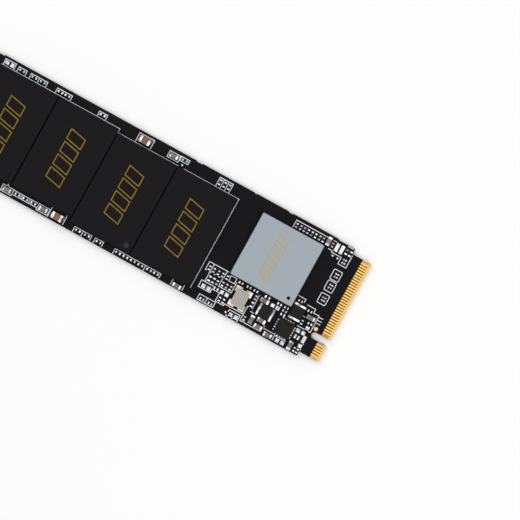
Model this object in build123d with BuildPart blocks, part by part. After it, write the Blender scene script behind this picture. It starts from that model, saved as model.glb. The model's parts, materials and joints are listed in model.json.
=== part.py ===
from build123d import *
import os

# A single-sided solid-state drive card: a circuit board with a keyed card edge, four memory packages in
# a row, a lidded controller, and the clock, power and chip parts around them.
# Millimetres, +Z up. The card lies on its underside, the card edge points along +X, and the origin is on the
# underside, half way along the tongue's middle line. The upper long edge is the one at +Y.

# Circuit board
BOARD_THICKNESS = 0.8
CORNER_RADIUS = 0.5
END_MARGIN = 4.53  # from the far end to the first memory package
BOARD_SHIFT = 0.08  # how far the board's middle lies above the tongue's
EDGE_MARGIN = 0.6  # from the upper edge to the chip parts along it
LOWER_EDGE_MARGIN = 0.44
ROUGH_EDGE_HEIGHT = 0.2  # edge left standing where the card was broken out of its panel
ROUGH_EDGE_FAR = 4.5  # from the far end to the rough edge
ROUGH_EDGE_NEAR = 7.45  # from the card edge to the rough edge
NICK_DEPTH = 0.15
NICKS = ((35.8, 1.2), (24.35, 0.4), (17.15, 0.9))  # distance from the card edge, width

# Card edge
PIN_COUNT = 75  # odd pins on the upper face, even pins on the lower face
KEY_FIRST_PIN = 59
KEY_LAST_PIN = 66
KEY_WIDTH = 1.2
KEY_DEPTH = 3.5
CONTACT_PITCH = 0.5
CONTACT_WIDTH = 0.35
CONTACT_LENGTH = 1.5
TONGUE_LENGTH = 4.0
TONGUE_MARGIN = 0.5  # from the last contact to the side of the tongue
BEVEL_LENGTH = 0.5
BEVEL_DEPTH = 0.2
PLATING = 0.03  # copper and gold, level with the solder mask around it

# Screw notch in the far end, and the two gold test points
SCREW_RADIUS = 1.75
SCREW_PAD_RADIUS = 2.75
TEST_POINT_RADIUS = 0.42
TEST_DOT_RADIUS = 0.22

# Memory packages, the first two set nearer the upper edge than the other two
MEMORY_WIDTH = 12.0
MEMORY_LENGTH = 18.0
MEMORY_THICKNESS = 0.85
MEMORY_GAP = 0.25
MEMORY_STAGGER = 0.7
MEMORY_CLEARANCE = 0.475  # to the chip parts along the long edges
MEMORY_SETBACK = 5.17  # from the last package to the controller
MEMORY_BALL_PITCH = 1.0
MEMORY_BALL_COLUMNS = 9
MEMORY_BALL_ROWS = 15
MARKED_PACKAGE = 3  # the one with a mould mark
DIMPLE_RADIUS = 0.45
DIMPLE_DEPTH = 0.03
DIMPLE_INSET = 1.15

# Controller: a substrate, a die on it and a formed metal lid over both
CONTROLLER_SIDE = 12.5
CONTROLLER_SETBACK = 9.05  # from the card edge
CONTROLLER_CLEARANCE = 0.285  # to the chip parts above it
CONTROLLER_BALL_PITCH = 0.8
CONTROLLER_BALLS = 14
SUBSTRATE_THICKNESS = 0.35
DIE_SIDE = 7.0
DIE_THICKNESS = 0.35
LID_INSET = 0.02
LID_WALL = 1.2
LID_THICKNESS = 0.3
LID_CORNER = 0.3
LID_EDGE = 0.08
PIN_MARK_RADIUS = 0.33
PIN_MARK_DEPTH = 0.05
PIN_MARK_INSET = 1.2

# Solder balls, only the outer ring of each grid, with flat sides
BALL_HEIGHT = 0.22
BALL_RADIUS = 0.2
BALL_SIDES = 5

# Chip parts: length over the terminals, width, height, terminal and the solder toe beyond it
SMALL_LENGTH = 1.0
SMALL_WIDTH = 0.5
SMALL_HEIGHT = 0.35
SMALL_TERMINAL = 0.25
SMALL_TOE = 0.12
SLIM_WIDTH = 0.4
SHORT_LENGTH = 0.84
SHORT_WIDTH = 0.42
SHORT_HEIGHT = 0.33
SHORT_TERMINAL = 0.23
SHORT_TOE = 0.08
TINY_LENGTH = 0.7
TINY_WIDTH = 0.32
TINY_HEIGHT = 0.3
TINY_TERMINAL = 0.18
TINY_TOE = 0.18
MEDIUM_LENGTH = 1.6
MEDIUM_WIDTH = 0.8
MEDIUM_HEIGHT = 0.8
MEDIUM_TERMINAL = 0.35
MEDIUM_TOE = 0.1
LARGE_LENGTH = 2.0
LARGE_WIDTH = 1.25
LARGE_HEIGHT = 1.1
LARGE_TERMINAL = 0.4
LARGE_TOE = 0.3
LED_LENGTH = 1.6
LED_WIDTH = 0.65
LED_HEIGHT = 0.5
LED_TERMINAL = 0.35
LED_TOE = 0.1
INDUCTOR_LENGTH = 2.95
INDUCTOR_WIDTH = 2.3
INDUCTOR_HEIGHT = 1.0
INDUCTOR_TERMINAL = 0.36
INDUCTOR_TOE = 0.15
TOE_RISE = 0.7  # how far up a terminal its solder climbs
STANDOFF = 0.03  # gap under a body that stands on solder

# Power chip with leads on four sides
POWER_SIDE = 3.0
POWER_HEIGHT = 0.75
POWER_LEADS = 5
LEAD_PITCH = 0.5
LEAD_WIDTH = 0.26
LEAD_FOOT = 0.35
LEAD_TOE = 0.15
LEAD_RISE = 0.2

# Clock crystal: a ceramic tray on four pads, a quartz blank in it, a seal ring and a welded lid
CRYSTAL_WIDTH = 2.5
CRYSTAL_LENGTH = 3.2
CRYSTAL_HEIGHT = 0.45
CRYSTAL_RIM = 0.4
CRYSTAL_POCKET = 0.25
CRYSTAL_NOTCH = 0.2
SEAL_INSET = 0.15
SEAL_HEIGHT = 0.1
CRYSTAL_LID_INSET = 0.2
CRYSTAL_LID_CORNER = 0.2
CRYSTAL_LID_THICKNESS = 0.12
BLANK_GAP = 0.1
BLANK_THICKNESS = 0.08
CRYSTAL_PAD_WIDTH = 1.2
CRYSTAL_PAD_LENGTH = 1.1
CRYSTAL_PAD_REACH = 0.35  # pad showing past the tray

# Tinned pads of the places left unfitted
PAD_SIDE = 0.7
PAD_PITCH = 1.02
NARROW_PAD_WIDTH = 0.35
NARROW_PAD_PITCH = 0.65

# Counts of the chip parts in the longer rows
UPPER_RANK_COUNT = 8
MEMORY_RANK_COUNT = 3
LOWER_RUN_COUNT = 4
SIDE_RANK_COUNT = 5
SECOND_RANK_COUNT = 3
GRID_ROWS = 3

# Spacing of the chip parts
RUN_GAP = 0.15  # end to end
RANK_GAP = 0.27  # side by side
WIDE_RANK_GAP = 0.4
PAIR_GAP = 0.12
ROW_GAP = 0.2
FIRST_ROW_GAP = 0.25  # under the controller
PART_GAP = 0.15
BLOCK_GAP = 0.43
UPPER_ROW_GAP = 0.33
STEP_MARGIN = 0.1  # from the tongue's step to the nearest part
INDUCTOR_RAISE = 1.375  # how far the second inductor reaches up beside the controller
BULK_MARGIN = 0.55  # from the upper edge to the large capacitor
LOWER_MARGIN = 0.765
CORNER_MARGIN = 0.14

# Places along the strips beside the memory, each measured from the middle of a package
UPPER_SMALL_PLACES = ((-1.98, 0.52, 2.22), (-6.4, 2.17), (), (-5.56,))
LOWER_SMALL_PLACES = ((), (-4.28, -2.68, -1.06), (-4.0, -2.18, 0.19), ())
UPPER_PADS_PLACE = -4.5
UPPER_LARGE_PLACE = -1.23
UPPER_RANK_PLACE = 1.82
LOWER_MEDIUM_PLACES = (-6.33, 0.97)
LOWER_LARGE_PLACE = 3.82
LOWER_RUN_PLACE = -8.06
LOWER_END_PLACE = 3.97
LANE_PLACES = (8.0, 5.14, 2.93, 0.37)  # pairs of capacitors along the step, measured across the card

# Places in the power area, which is laid out from the second inductor towards the memory
POWER_OFFSET = 0.65  # power chip, left of the second inductor
POWER_GAP = 1.08  # from the first inductor to the power chip
CRYSTAL_OFFSET = 3.8  # crystal, right of the last chip part in the rank beside it
TEST_DOT_OFFSET = 2.7  # small test point, right of that chip part
GRID_OFFSET = 1.4  # rows of chip parts, left of the power chip's middle
INPUT_OFFSET = 2.05  # capacitor at the lower edge, left of the power chip's middle
FILTER_OFFSET = 1.05  # capacitor above the first inductor, left of its middle
SWITCH_OFFSET = 0.9  # small capacitor above that one
SPARE_OFFSET = 1.1  # unfitted place above the first inductor, right of its middle
OUTPUT_OFFSET = 0.1  # capacitors below the first inductor, right of its middle

os.makedirs("parts", exist_ok=True)


def save(name, piece):
    piece.label = name
    export_step(piece, f"parts/{name}.step")


def at(x, y, turn=0):
    return Location((x, y, 0), (0, 0, turn))


def run(x, y, count, pitch, turn=0):
    return [at(x + i * pitch, y, turn) for i in range(count)]


# Spans and pitches
board_top = BOARD_THICKNESS
small_span = SMALL_LENGTH + 2 * SMALL_TOE
medium_span = MEDIUM_LENGTH + 2 * MEDIUM_TOE
led_span = LED_LENGTH + 2 * LED_TOE
inductor_span = INDUCTOR_LENGTH + 2 * INDUCTOR_TOE
power_span = POWER_SIDE + 2 * LEAD_TOE
run_pitch = small_span + RUN_GAP
rank_pitch = SMALL_WIDTH + RANK_GAP
wide_pitch = SMALL_WIDTH + WIDE_RANK_GAP
pair_pitch = SMALL_WIDTH + PAIR_GAP
lane_pitch = TINY_WIDTH + PAIR_GAP
row_pitch = SMALL_WIDTH + ROW_GAP

# Depths below the controller's lower edge, column by column, which set how deep the power area is
row_depth = FIRST_ROW_GAP + SMALL_WIDTH / 2
row_end = FIRST_ROW_GAP + SMALL_WIDTH
filter_depth = row_end + PART_GAP + MEDIUM_WIDTH / 2
inductor_depth = filter_depth + MEDIUM_WIDTH / 2 + PART_GAP + INDUCTOR_WIDTH / 2
output_depth = inductor_depth + INDUCTOR_WIDTH / 2 + PART_GAP + MEDIUM_WIDTH / 2
bulk_depth = output_depth + MEDIUM_WIDTH + BLOCK_GAP
inductor_column = bulk_depth + MEDIUM_WIDTH / 2 + LOWER_MARGIN

rank_depth = FIRST_ROW_GAP + small_span / 2
second_rank_depth = rank_depth + small_span + PART_GAP
third_rank_depth = second_rank_depth + RANK_GAP
pad_depth = second_rank_depth + small_span / 2 + BLOCK_GAP + PAD_SIDE / 2
low_pad_depth = pad_depth + PAD_SIDE / 2 + ROW_GAP
fourth_rank_depth = pad_depth + PAD_SIDE / 2 + RANK_GAP + small_span / 2
small_column = fourth_rank_depth + small_span / 2 + BLOCK_GAP + SMALL_WIDTH + LOWER_EDGE_MARGIN

coil_depth = inductor_span / 2 - INDUCTOR_RAISE
grid_end = row_depth + (GRID_ROWS - 1) * row_pitch + SMALL_WIDTH / 2
power_start = max(coil_depth + inductor_span / 2 + BLOCK_GAP, grid_end + PART_GAP)
power_depth = power_start + power_span / 2
power_column = power_start + power_span + BLOCK_GAP + PAD_SIDE + CORNER_MARGIN

# Card size: the wider of the memory row and the controller with its power area
upper_strip = EDGE_MARGIN + small_span + CONTROLLER_CLEARANCE
strips = EDGE_MARGIN + LOWER_EDGE_MARGIN + 2 * (SMALL_WIDTH + MEMORY_CLEARANCE)
memory_stack = MEMORY_LENGTH + MEMORY_STAGGER + strips
controller_stack = upper_strip + CONTROLLER_SIDE + max(inductor_column, small_column, power_column)
board_width = max(memory_stack, controller_stack)
memory_count = len(UPPER_SMALL_PLACES)
memory_pitch = MEMORY_WIDTH + MEMORY_GAP
memory_row = memory_count * memory_pitch - MEMORY_GAP
board_length = END_MARGIN + memory_row + MEMORY_SETBACK + CONTROLLER_SIDE + CONTROLLER_SETBACK
tongue_width = (PIN_COUNT - 1) / 2 * CONTACT_PITCH + CONTACT_WIDTH + 2 * TONGUE_MARGIN

# Reference lines
card_edge = board_length / 2
far_end = -board_length / 2
upper_edge = BOARD_SHIFT + board_width / 2
lower_edge = BOARD_SHIFT - board_width / 2
step = card_edge - TONGUE_LENGTH
contact_end = card_edge - BEVEL_LENGTH
mask_end = contact_end - CONTACT_LENGTH
middle_pin = (PIN_COUNT + 1) / 2
key_y = (middle_pin - (KEY_FIRST_PIN + KEY_LAST_PIN) / 2) * CONTACT_PITCH / 2
controller_right = card_edge - CONTROLLER_SETBACK
controller_top = upper_edge - upper_strip
controller_low = controller_top - CONTROLLER_SIDE
controller_x = controller_right - CONTROLLER_SIDE / 2
controller_y = controller_top - CONTROLLER_SIDE / 2
memory_x = [far_end + END_MARGIN + MEMORY_WIDTH / 2 + i * memory_pitch for i in range(memory_count)]
memory_y = [(1 if i < memory_count / 2 else -1) * MEMORY_STAGGER / 2 for i in range(memory_count)]
first, second, third, fourth = memory_x


def below(depth):
    return controller_low - depth


# Places of the parts in the power area
coil_x = controller_right + FIRST_ROW_GAP + INDUCTOR_WIDTH / 2
coil_right = coil_x + INDUCTOR_WIDTH / 2
coil_y = below(coil_depth)
power_x = coil_x - POWER_OFFSET
power_y = below(power_depth)
grid_x = power_x - GRID_OFFSET
inductor_x = power_x - power_span / 2 - POWER_GAP - inductor_span / 2
clock_x = inductor_x - inductor_span / 2 - 2 * BLOCK_GAP - SMALL_WIDTH / 2
crystal_x = clock_x - UPPER_ROW_GAP - BLOCK_GAP - CRYSTAL_PAD_REACH - CRYSTAL_WIDTH / 2
crystal_half = CRYSTAL_LENGTH / 2 + CRYSTAL_PAD_REACH
crystal_y = below(row_end + CRYSTAL_PAD_REACH) - crystal_half
rank_end_x = crystal_x - CRYSTAL_OFFSET
left_rank_x = rank_end_x - PART_GAP
inner_rank_x = left_rank_x - SMALL_WIDTH - WIDE_RANK_GAP - PAIR_GAP
step_x = step - STEP_MARGIN - SMALL_WIDTH - PAIR_GAP / 2
pair_x = step_x - pair_pitch / 2
lower_row = lower_edge + LOWER_EDGE_MARGIN + SMALL_WIDTH / 2
pad_row = lower_edge + CORNER_MARGIN + ROW_GAP + PAD_SIDE / 2
corner_x = pair_x - SMALL_WIDTH / 2 - UPPER_ROW_GAP - MEDIUM_WIDTH / 2
corner_y = lower_edge + CORNER_MARGIN + medium_span / 2

# Places down the block beside the second inductor
beside_y = below(-INDUCTOR_RAISE + RUN_GAP) - SMALL_WIDTH / 2
input_y = beside_y - SMALL_WIDTH / 2 - UPPER_ROW_GAP - MEDIUM_WIDTH / 2
sense_y = input_y - MEDIUM_WIDTH / 2 - UPPER_ROW_GAP - SMALL_WIDTH / 2
single_pad_y = sense_y - SMALL_WIDTH / 2 - UPPER_ROW_GAP - PAD_SIDE / 2
pad_pair_y = single_pad_y - PAD_SIDE - BLOCK_GAP

# Places along the upper edge, walking from the step towards the far end
upper_row = upper_edge - EDGE_MARGIN - SMALL_WIDTH / 2
upper_rank = upper_edge - EDGE_MARGIN - small_span / 2
short_rank = upper_rank - PAIR_GAP
corner_rank_x = step - STEP_MARGIN - SMALL_WIDTH / 2 - rank_pitch
led_right_x = corner_rank_x - SMALL_WIDTH / 2 - UPPER_ROW_GAP - LED_WIDTH / 2
led_left_x = led_right_x - LED_WIDTH - UPPER_ROW_GAP
led_y = upper_edge - BLOCK_GAP - led_span / 2
led_resistor_x = led_left_x - LED_WIDTH / 2 - UPPER_ROW_GAP - SMALL_WIDTH / 2
upper_medium_x = led_resistor_x - SMALL_WIDTH / 2 - FIRST_ROW_GAP - MEDIUM_WIDTH / 2
upper_medium_y = controller_top + PART_GAP + medium_span / 2
upper_rank_end = upper_medium_x - MEDIUM_WIDTH / 2 - UPPER_ROW_GAP - SMALL_WIDTH / 2
upper_rank_x = upper_rank_end - (UPPER_RANK_COUNT - 1) * rank_pitch

# Circuit board: outline with the rough upper edge, bevelled tongue, key notch and screw notch
with BuildPart() as board:
    with BuildSketch() as outline:
        with Locations(((far_end + step) / 2, BOARD_SHIFT)):
            Rectangle(step - far_end, board_width)
        fillet(outline.vertices().group_by(Axis.X)[0], CORNER_RADIUS)
        rough_start = far_end + ROUGH_EDGE_FAR
        rough_end = card_edge - ROUGH_EDGE_NEAR
        with Locations(((rough_start + rough_end) / 2, upper_edge)):
            Rectangle(rough_end - rough_start, 2 * ROUGH_EDGE_HEIGHT)
        for distance, width in NICKS:
            with Locations((card_edge - distance, upper_edge + ROUGH_EDGE_HEIGHT)):
                Rectangle(width, 2 * NICK_DEPTH, mode=Mode.SUBTRACT)
    extrude(amount=BOARD_THICKNESS)
    with BuildSketch(Plane.XZ):
        with BuildLine():
            Polyline(
                (step - CORNER_RADIUS, 0),
                (contact_end, 0),
                (card_edge, BEVEL_DEPTH),
                (card_edge, BOARD_THICKNESS - BEVEL_DEPTH),
                (contact_end, BOARD_THICKNESS),
                (step - CORNER_RADIUS, BOARD_THICKNESS),
                close=True,
            )
        make_face()
    extrude(amount=tongue_width / 2, both=True)
    with BuildSketch():
        with Locations((card_edge - KEY_DEPTH + KEY_WIDTH / 2, key_y)):
            Circle(KEY_WIDTH / 2)
        with Locations((card_edge - (KEY_DEPTH - KEY_WIDTH / 2) / 2, key_y)):
            Rectangle(KEY_DEPTH - KEY_WIDTH / 2, KEY_WIDTH)
        with Locations((far_end, 0)):
            Circle(SCREW_RADIUS + PLATING)
    extrude(amount=BOARD_THICKNESS, mode=Mode.SUBTRACT)
    for level in (0, BOARD_THICKNESS - PLATING):
        with BuildSketch(Plane.XY.offset(level)):
            with Locations(((mask_end + card_edge) / 2, 0)):
                Rectangle(card_edge - mask_end, tongue_width)
            with Locations((far_end, 0)):
                Circle(SCREW_PAD_RADIUS)
        extrude(amount=PLATING, mode=Mode.SUBTRACT)
    test_point_x = mask_end - TEST_POINT_RADIUS - 2 * BLOCK_GAP
    test_point_y = key_y + KEY_WIDTH / 2 + TEST_POINT_RADIUS + PART_GAP
    test_point = (test_point_x, test_point_y)
    test_dot = (rank_end_x + TEST_DOT_OFFSET, lower_row)
    with BuildSketch(Plane.XY.offset(BOARD_THICKNESS - PLATING)):
        with Locations(test_point):
            Circle(TEST_POINT_RADIUS)
        with Locations(test_dot):
            Circle(TEST_DOT_RADIUS)
    extrude(amount=PLATING, mode=Mode.SUBTRACT)
save("circuit_board", board.part)

with BuildPart() as test_points:
    with BuildSketch(Plane.XY.offset(BOARD_THICKNESS - PLATING)):
        with Locations(test_point):
            Circle(TEST_POINT_RADIUS)
        with Locations(test_dot):
            Circle(TEST_DOT_RADIUS)
    extrude(amount=PLATING)
save("test_points", test_points.part)

# Screw notch plating: a half ring on both faces, joined by the plated wall
with BuildPart() as screw_pad:
    with BuildSketch(Plane((far_end, 0, 0), x_dir=(0, -1, 0), z_dir=(-1, 0, 0))):
        with BuildLine():
            Polyline(
                (SCREW_RADIUS, 0),
                (SCREW_PAD_RADIUS, 0),
                (SCREW_PAD_RADIUS, PLATING),
                (SCREW_RADIUS + PLATING, PLATING),
                (SCREW_RADIUS + PLATING, BOARD_THICKNESS - PLATING),
                (SCREW_PAD_RADIUS, BOARD_THICKNESS - PLATING),
                (SCREW_PAD_RADIUS, BOARD_THICKNESS),
                (SCREW_RADIUS, BOARD_THICKNESS),
                close=True,
            )
        make_face()
    revolve(axis=Axis((far_end, 0, 0), (0, 0, 1)), revolution_arc=180)
save("screw_notch_plating", screw_pad.part)


# Contacts, odd pins on the upper face and even pins on the lower face, none across the key
def contact_places(first_pin):
    pins = [n for n in range(first_pin, PIN_COUNT + 1, 2) if not KEY_FIRST_PIN <= n <= KEY_LAST_PIN]
    return [((mask_end + contact_end) / 2, (middle_pin - n) * CONTACT_PITCH / 2) for n in pins]


for name, first_pin, level in (("top", 1, BOARD_THICKNESS - PLATING), ("bottom", 2, 0)):
    with BuildPart() as contacts:
        with BuildSketch(Plane.XY.offset(level)):
            with Locations(*contact_places(first_pin)):
                Rectangle(CONTACT_LENGTH, CONTACT_WIDTH)
        extrude(amount=PLATING)
    save(f"edge_contacts_{name}", contacts.part)


# Solder balls: the outline of a grid, standing on the board
def ring(columns, rows, pitch):
    reach_x = (columns - 1) / 2 * pitch
    reach_y = (rows - 1) / 2 * pitch
    across = [(i * pitch - reach_x, side * reach_y) for i in range(columns) for side in (-1, 1)]
    along = [(side * reach_x, i * pitch - reach_y) for i in range(1, rows - 1) for side in (-1, 1)]
    return across + along


def ball_ring(name, x, y, columns, rows, pitch):
    with BuildPart() as balls:
        with BuildSketch(Plane.XY.offset(board_top)):
            with Locations(*[(x + dx, y + dy) for dx, dy in ring(columns, rows, pitch)]):
                RegularPolygon(BALL_RADIUS, BALL_SIDES)
        extrude(amount=BALL_HEIGHT)
    save(name, balls.part)


# Memory packages on their solder balls
for i, (x, y) in enumerate(zip(memory_x, memory_y), start=1):
    ball_ring(f"memory_balls_{i}", x, y, MEMORY_BALL_COLUMNS, MEMORY_BALL_ROWS, MEMORY_BALL_PITCH)
    with BuildPart() as memory:
        with BuildSketch(Plane.XY.offset(board_top + BALL_HEIGHT)):
            with Locations((x, y)):
                Rectangle(MEMORY_WIDTH, MEMORY_LENGTH)
        extrude(amount=MEMORY_THICKNESS)
        if i == MARKED_PACKAGE:
            mark_x = x + MEMORY_WIDTH / 2 - DIMPLE_INSET
            mark_y = y - MEMORY_LENGTH / 2 + DIMPLE_INSET
            with Locations((mark_x, mark_y, board_top + BALL_HEIGHT + MEMORY_THICKNESS)):
                Hole(DIMPLE_RADIUS, DIMPLE_DEPTH)
    save(f"memory_package_{i}", memory.part)

# Controller: balls, substrate, die and lid
controller_grid = (CONTROLLER_BALLS, CONTROLLER_BALLS, CONTROLLER_BALL_PITCH)
ball_ring("controller_balls", controller_x, controller_y, *controller_grid)
substrate_base = board_top + BALL_HEIGHT
die_base = substrate_base + SUBSTRATE_THICKNESS
lid_top = die_base + DIE_THICKNESS + LID_THICKNESS

with BuildPart() as substrate:
    with BuildSketch(Plane.XY.offset(substrate_base)):
        with Locations((controller_x, controller_y)):
            Rectangle(CONTROLLER_SIDE, CONTROLLER_SIDE)
    extrude(amount=SUBSTRATE_THICKNESS)
save("controller_substrate", substrate.part)

with BuildPart() as die:
    with BuildSketch(Plane.XY.offset(die_base)):
        with Locations((controller_x, controller_y)):
            Rectangle(DIE_SIDE, DIE_SIDE)
    extrude(amount=DIE_THICKNESS)
save("controller_die", die.part)

with BuildPart() as lid:
    lid_side = CONTROLLER_SIDE - 2 * LID_INSET
    with BuildSketch(Plane.XY.offset(die_base)):
        with Locations((controller_x, controller_y)):
            RectangleRounded(lid_side, lid_side, LID_CORNER)
    extrude(amount=lid_top - die_base)
    chamfer(lid.faces().sort_by(Axis.Z)[-1].edges(), LID_EDGE)
    with BuildSketch(Plane.XY.offset(die_base)):
        with Locations((controller_x, controller_y)):
            Rectangle(lid_side - 2 * LID_WALL, lid_side - 2 * LID_WALL)
    extrude(amount=DIE_THICKNESS, mode=Mode.SUBTRACT)
    with Locations((controller_right - PIN_MARK_INSET, controller_low + PIN_MARK_INSET, lid_top)):
        Hole(PIN_MARK_RADIUS, PIN_MARK_DEPTH)
save("controller_lid", lid.part)


# Chip parts: a body standing on solder, and two plated ends with a solder toe
def chip_body(length, width, height, terminal):
    with BuildPart() as body:
        with BuildSketch(Plane.XY.offset(board_top + STANDOFF)):
            Rectangle(length - 2 * terminal, width)
        extrude(amount=height - STANDOFF)
    return body.part


def chip_ends(length, width, height, terminal, toe):
    with BuildPart() as ends:
        with BuildSketch(Plane.XZ):
            with BuildLine():
                Polyline(
                    (length / 2 - terminal, board_top),
                    (length / 2 + toe, board_top),
                    (length / 2, board_top + TOE_RISE * height),
                    (length / 2, board_top + height),
                    (length / 2 - terminal, board_top + height),
                    close=True,
                )
            make_face()
        extrude(amount=width / 2, both=True)
        mirror(about=Plane.YZ)
    return ends.part


def place_copies(name, *kinds):
    with BuildPart() as group:
        for piece, places in kinds:
            with Locations(*places):
                add(piece)
    save(name, group.part)


small_body = chip_body(SMALL_LENGTH, SMALL_WIDTH, SMALL_HEIGHT, SMALL_TERMINAL)
small_ends = chip_ends(SMALL_LENGTH, SMALL_WIDTH, SMALL_HEIGHT, SMALL_TERMINAL, SMALL_TOE)
slim_body = chip_body(SMALL_LENGTH, SLIM_WIDTH, SMALL_HEIGHT, SMALL_TERMINAL)
slim_ends = chip_ends(SMALL_LENGTH, SLIM_WIDTH, SMALL_HEIGHT, SMALL_TERMINAL, SMALL_TOE)
short_body = chip_body(SHORT_LENGTH, SHORT_WIDTH, SHORT_HEIGHT, SHORT_TERMINAL)
short_ends = chip_ends(SHORT_LENGTH, SHORT_WIDTH, SHORT_HEIGHT, SHORT_TERMINAL, SHORT_TOE)
tiny_body = chip_body(TINY_LENGTH, TINY_WIDTH, TINY_HEIGHT, TINY_TERMINAL)
tiny_ends = chip_ends(TINY_LENGTH, TINY_WIDTH, TINY_HEIGHT, TINY_TERMINAL, TINY_TOE)
medium_body = chip_body(MEDIUM_LENGTH, MEDIUM_WIDTH, MEDIUM_HEIGHT, MEDIUM_TERMINAL)
medium_ends = chip_ends(MEDIUM_LENGTH, MEDIUM_WIDTH, MEDIUM_HEIGHT, MEDIUM_TERMINAL, MEDIUM_TOE)
large_body = chip_body(LARGE_LENGTH, LARGE_WIDTH, LARGE_HEIGHT, LARGE_TERMINAL)
large_ends = chip_ends(LARGE_LENGTH, LARGE_WIDTH, LARGE_HEIGHT, LARGE_TERMINAL, LARGE_TOE)
led_body = chip_body(LED_LENGTH, LED_WIDTH, LED_HEIGHT, LED_TERMINAL)
led_ends = chip_ends(LED_LENGTH, LED_WIDTH, LED_HEIGHT, LED_TERMINAL, LED_TOE)
inductor_core = chip_body(INDUCTOR_LENGTH, INDUCTOR_WIDTH, INDUCTOR_HEIGHT, INDUCTOR_TERMINAL)
inductor_ends = chip_ends(INDUCTOR_LENGTH, INDUCTOR_WIDTH, INDUCTOR_HEIGHT, INDUCTOR_TERMINAL, INDUCTOR_TOE)

# Small chip parts along the long edges, beside the memory
wide_lower_row = lower_row + BLOCK_GAP
memory_side = [at(x + dx, upper_row) for x, row in zip(memory_x, UPPER_SMALL_PLACES) for dx in row]
memory_side += [at(second + UPPER_SMALL_PLACES[1][0] + run_pitch, upper_row)]
memory_rank_pitch = SMALL_WIDTH + BLOCK_GAP
memory_side += run(fourth + UPPER_RANK_PLACE, upper_rank, MEMORY_RANK_COUNT, memory_rank_pitch, 90)
memory_side += [at(second + dx, wide_lower_row) for dx in LOWER_SMALL_PLACES[1]]
memory_side += [at(third + dx, lower_row) for dx in LOWER_SMALL_PLACES[2]]
memory_side += run(fourth + LOWER_RUN_PLACE, lower_row, LOWER_RUN_COUNT, run_pitch + PAIR_GAP)
lower_run_end = fourth + LOWER_RUN_PLACE + LOWER_RUN_COUNT * run_pitch + BLOCK_GAP + UPPER_ROW_GAP
memory_side += run(lower_run_end, lower_row, 2, run_pitch)

# Small chip parts along the upper edge and the step, beside the controller
edge_side = run(upper_rank_x, short_rank, UPPER_RANK_COUNT, rank_pitch, 90)
edge_side += [at(led_resistor_x, short_rank, 90)]
corner_side = run(corner_rank_x, upper_rank, 2, rank_pitch, 90)
lane_side = [place for y in LANE_PLACES for place in run(step_x - lane_pitch / 2, y, 2, lane_pitch, 90)]

# Small chip parts of the power area, black-coated resistors and ceramic capacitors
side_rank_x = rank_end_x - (SIDE_RANK_COUNT - 1) * wide_pitch
power_resistors = run(side_rank_x, below(rank_depth), SIDE_RANK_COUNT, wide_pitch, 90)
power_resistors += run(left_rank_x, below(second_rank_depth), SECOND_RANK_COUNT, rank_pitch, 90)
power_resistors += [at(inner_rank_x, below(third_rank_depth), 90)]
power_resistors += run(inner_rank_x - rank_pitch - ROW_GAP, lower_row, 2, run_pitch + RANK_GAP)
power_resistors += [at(crystal_x - run_pitch + ROW_GAP, below(row_depth))]
power_resistors += run(crystal_x + BLOCK_GAP, below(row_depth), 2, run_pitch)
power_resistors += [at(clock_x, below(row_end + ROW_GAP + small_span / 2), 90)]
power_resistors += [at(clock_x, below(output_depth + MEDIUM_WIDTH + RANK_GAP), 90)]
power_resistors += [at(grid_x - run_pitch, below(row_depth))]
power_resistors += [at(grid_x, below(row_depth + i * row_pitch)) for i in range(GRID_ROWS)]
power_resistors += [at(coil_x - BLOCK_GAP, coil_y + inductor_span / 2 + PART_GAP + SMALL_WIDTH / 2)]
power_resistors += [at(coil_right + PART_GAP + small_span / 2, beside_y)]
power_resistors += [at(step_x, sense_y)]
power_resistors += [at(coil_right + ROW_GAP + SMALL_WIDTH / 2, sense_y - BLOCK_GAP, 90)]
small_capacitors = run(inner_rank_x - 2 * rank_pitch, below(third_rank_depth), 2, rank_pitch, 90)
small_capacitors += [at(clock_x, below(row_end + ROW_GAP + run_pitch + small_span / 2), 90)]
small_capacitors += [at(inductor_x - SWITCH_OFFSET, below(row_depth))]
short_capacitors = run(left_rank_x + rank_pitch, below(fourth_rank_depth), 2, rank_pitch, 90)
short_capacitors += run(pair_x, lower_edge + CORNER_MARGIN + small_span / 2, 2, pair_pitch, 90)

slim, small, short = (slim_body, slim_ends), (small_body, small_ends), (short_body, short_ends)
for name, *kinds in (
    ("memory_resistor", (slim, memory_side)),
    ("edge_resistor", (short, edge_side), (small, corner_side)),
    ("power_resistor", (short, power_resistors)),
    ("small_capacitor", (small, small_capacitors), (short, short_capacitors)),
    ("lane_capacitor", ((tiny_body, tiny_ends), lane_side)),
):
    place_copies(f"{name}_bodies", *[(body, places) for (body, ends), places in kinds])
    place_copies(f"{name}_ends", *[(ends, places) for (body, ends), places in kinds])

# Medium capacitors along the edges and in the power area
upper_medium_gap = (small_span + medium_span) / 2 + BLOCK_GAP + PAIR_GAP
edge_capacitors = [at(fourth + UPPER_SMALL_PLACES[3][0] - upper_medium_gap, upper_row - RANK_GAP)]
lower_medium_row = lower_edge + LOWER_EDGE_MARGIN + PART_GAP + MEDIUM_WIDTH / 2
edge_capacitors += [at(second + dx, lower_medium_row) for dx in LOWER_MEDIUM_PLACES]
edge_capacitors += [at(fourth + LOWER_END_PLACE, lower_edge + CORNER_MARGIN + MEDIUM_WIDTH / 2)]
edge_capacitors += [at(upper_medium_x, upper_medium_y, 90)]
power_capacitors = [at(inductor_x - FILTER_OFFSET, below(filter_depth))]
power_capacitors += [at(inductor_x + OUTPUT_OFFSET, below(depth)) for depth in (output_depth, bulk_depth)]
bulk_column_y = below(output_depth) - (MEDIUM_WIDTH + BLOCK_GAP) / 2
bulk_column_x = inductor_x + OUTPUT_OFFSET - (medium_span + MEDIUM_WIDTH) / 2 - UPPER_ROW_GAP
power_capacitors += [at(bulk_column_x, bulk_column_y, 90)]
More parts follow.
